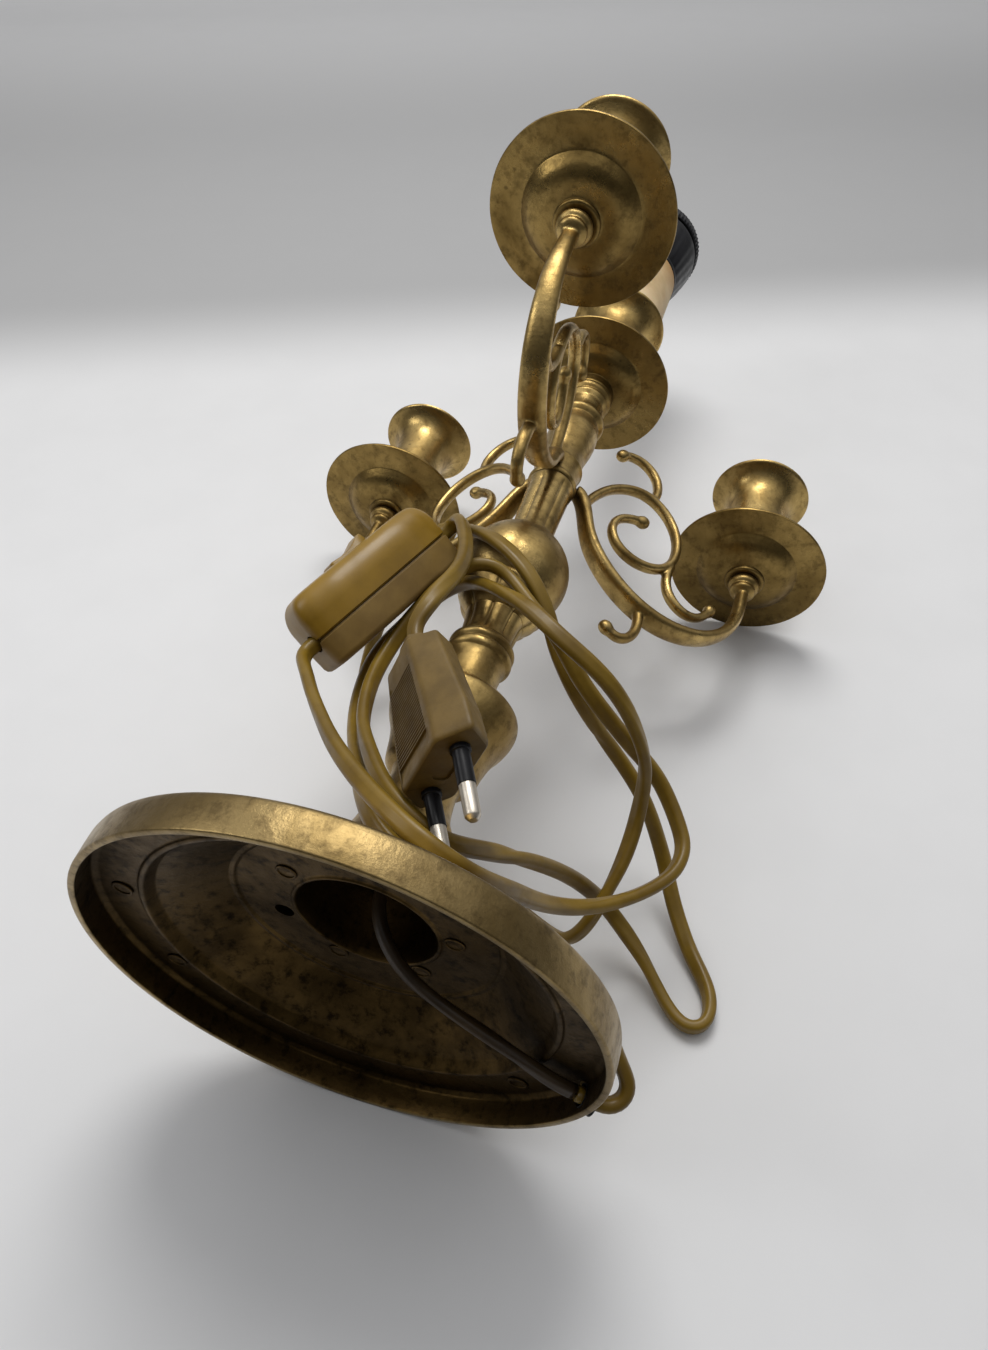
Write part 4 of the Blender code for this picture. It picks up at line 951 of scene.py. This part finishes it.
INNER = [(0, 0, 371.5), (0, 0, 300), (0, 0, 70), (0, 0, 40), (0, 0, 32),
         (-1, -0.6, 25), (-5, -3, 19), (-10, -7.5, 15.5), (-16, -12, 13.5), (-25, -15.5, 11.5), (-36, -17, 8.6),
         (-46, -18.8, 5.8), (-51, -20.5, 4.7), (-55.0, -22.2, 4.5), (-56.6, -22.9, 4.5)]
line = bspline(INNER[2:], 8)
wm = np.array(WORLD)
world_line = np.vstack([np.array([INNER[0], INNER[1]]), line]) @ wm[:3, :3].T + wm[:3, 3] * 1000
inner, _, _ = flat_flex("vis_inner_lead", world_line, 3.9, 3.2, M_LEAD_SHADED)
swap(inner, "inner_lead")

# carried-over CAD nodes get their finish
for n, m in (("centre_rod", M_NICKEL), ("base_nut", M_NICKEL), ("base_washer", M_NICKEL), ("cup_nut_a", M_NICKEL),
             ("cup_nut_b", M_NICKEL), ("cup_nut_c", M_NICKEL)):
    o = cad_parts[n]
    o.data.materials.clear()
    o.data.materials.append(m)
    b = o.modifiers.new("edge", "BEVEL")
    b.width, b.segments, b.limit_method = 0.0003, 2, "ANGLE"

# ------------------------------------------------------- floor and lighting
fl = bpy.data.meshes.new("floor")
fl.from_pydata([(-6, -6, 0), (6, -6, 0), (6, 6, 0), (-6, 6, 0)], [], [(0, 1, 2, 3)])
floor = bpy.data.objects.new("floor", fl)
sc.collection.objects.link(floor)
floor.location.z = -0.0002
g = Nodes("floor_sweep_painted_shade")
along = g.t.nodes.new("ShaderNodeVectorMath")
along.operation = "DOT_PRODUCT"
along.inputs[1].default_value = (0.91527, 0.40285, 0)
g.link(g.co, along.inputs[0])
# painted shade: the floor colour falls to a grey band past a line across the view, standing in for the shaded backdrop
painted_shade_ramp = g.t.nodes.new("ShaderNodeValToRGB")
painted_shade_ramp.color_ramp.interpolation = "EASE"
g.link(g.ramp(along.outputs["Value"], 0.0, 1.2), painted_shade_ramp.inputs[0])
painted_shade_in = painted_shade_ramp.inputs[0].links[0].from_node
painted_shade_in.interpolation_type = "LINEAR"
els = painted_shade_ramp.color_ramp.elements
els[0].position, els[0].color = 0.0, (0.74, 0.743, 0.75, 1)
els[1].position, els[1].color = 1.0, (0.68, 0.68, 0.684, 1)
# grey values of the painted backdrop shade along the floor
for p_, v in ((0.175, 0.70), (0.275, 0.385), (0.50, 0.385), (0.86, 0.60)):
    e = els.new(p_)
    e.color = (v, v * 1.003, v * 1.01, 1)
floor_col_painted_shade = painted_shade_ramp.outputs["Color"]
floor_col_painted_shade = g.mix(g.ramp(g.noise(30, 4, 0.5), 0.35, 0.7, 0.0, 0.05), floor_col_painted_shade, (0.45, 0.45, 0.45))
fl.materials.append(g.done(floor_col_painted_shade, 0.55, g.bump(g.noise(900, 3, 0.6), 0.04, 0.0004)))
g.p.inputs["Specular IOR Level"].default_value = 0.35

w = bpy.data.worlds.new("studio")
sc.world = w
w.use_nodes = True
nt = w.node_tree
bg = nt.nodes["Background"]
tc = nt.nodes.new("ShaderNodeTexCoord")
dp = nt.nodes.new("ShaderNodeVectorMath")
dp.operation = "DOT_PRODUCT"
dp.inputs[1].default_value = Vector((0.42, 0.12, 0.90)).normalized()
nt.links.new(tc.outputs["Generated"], dp.inputs[0])
mr = nt.nodes.new("ShaderNodeMapRange")
mr.inputs["From Min"].default_value = -1.0
nt.links.new(dp.outputs["Value"], mr.inputs["Value"])
rp = nt.nodes.new("ShaderNodeValToRGB")
nt.links.new(mr.outputs["Result"], rp.inputs[0])
els = rp.color_ramp.elements
els[0].position, els[0].color = 0.0, (0.02, 0.02, 0.02, 1)
els[1].position, els[1].color = 1.0, (0.95, 0.95, 0.96, 1)
for p_, v in ((0.5, 0.045), (0.66, 0.14), (0.80, 0.42), (0.92, 0.80)):
    e = els.new(p_)
    e.color = (v, v, v * 1.01, 1)
nt.links.new(rp.outputs[0], bg.inputs[0])
bg.inputs[1].default_value = 1.0


def area(name, loc, target, size, power, col=(1, 1, 1)):
    d = bpy.data.lights.new(name, "AREA")
    d.shape, d.size, d.energy, d.color = "DISK", size, power, col
    o = bpy.data.objects.new(name, d)
    sc.collection.objects.link(o)
    o.location = loc
    o.rotation_mode = "QUATERNION"
    o.rotation_quaternion = (Vector(target) - Vector(loc)).to_track_quat("-Z", "Y")
    return o


area("key", (0.35, 0.12, 0.95), (-0.05, 0, 0), 0.55, 5.2, (1.0, 0.99, 0.97))
area("side", (-0.30, 0.80, 0.70), (-0.05, 0, 0.05), 0.45, 1.3)
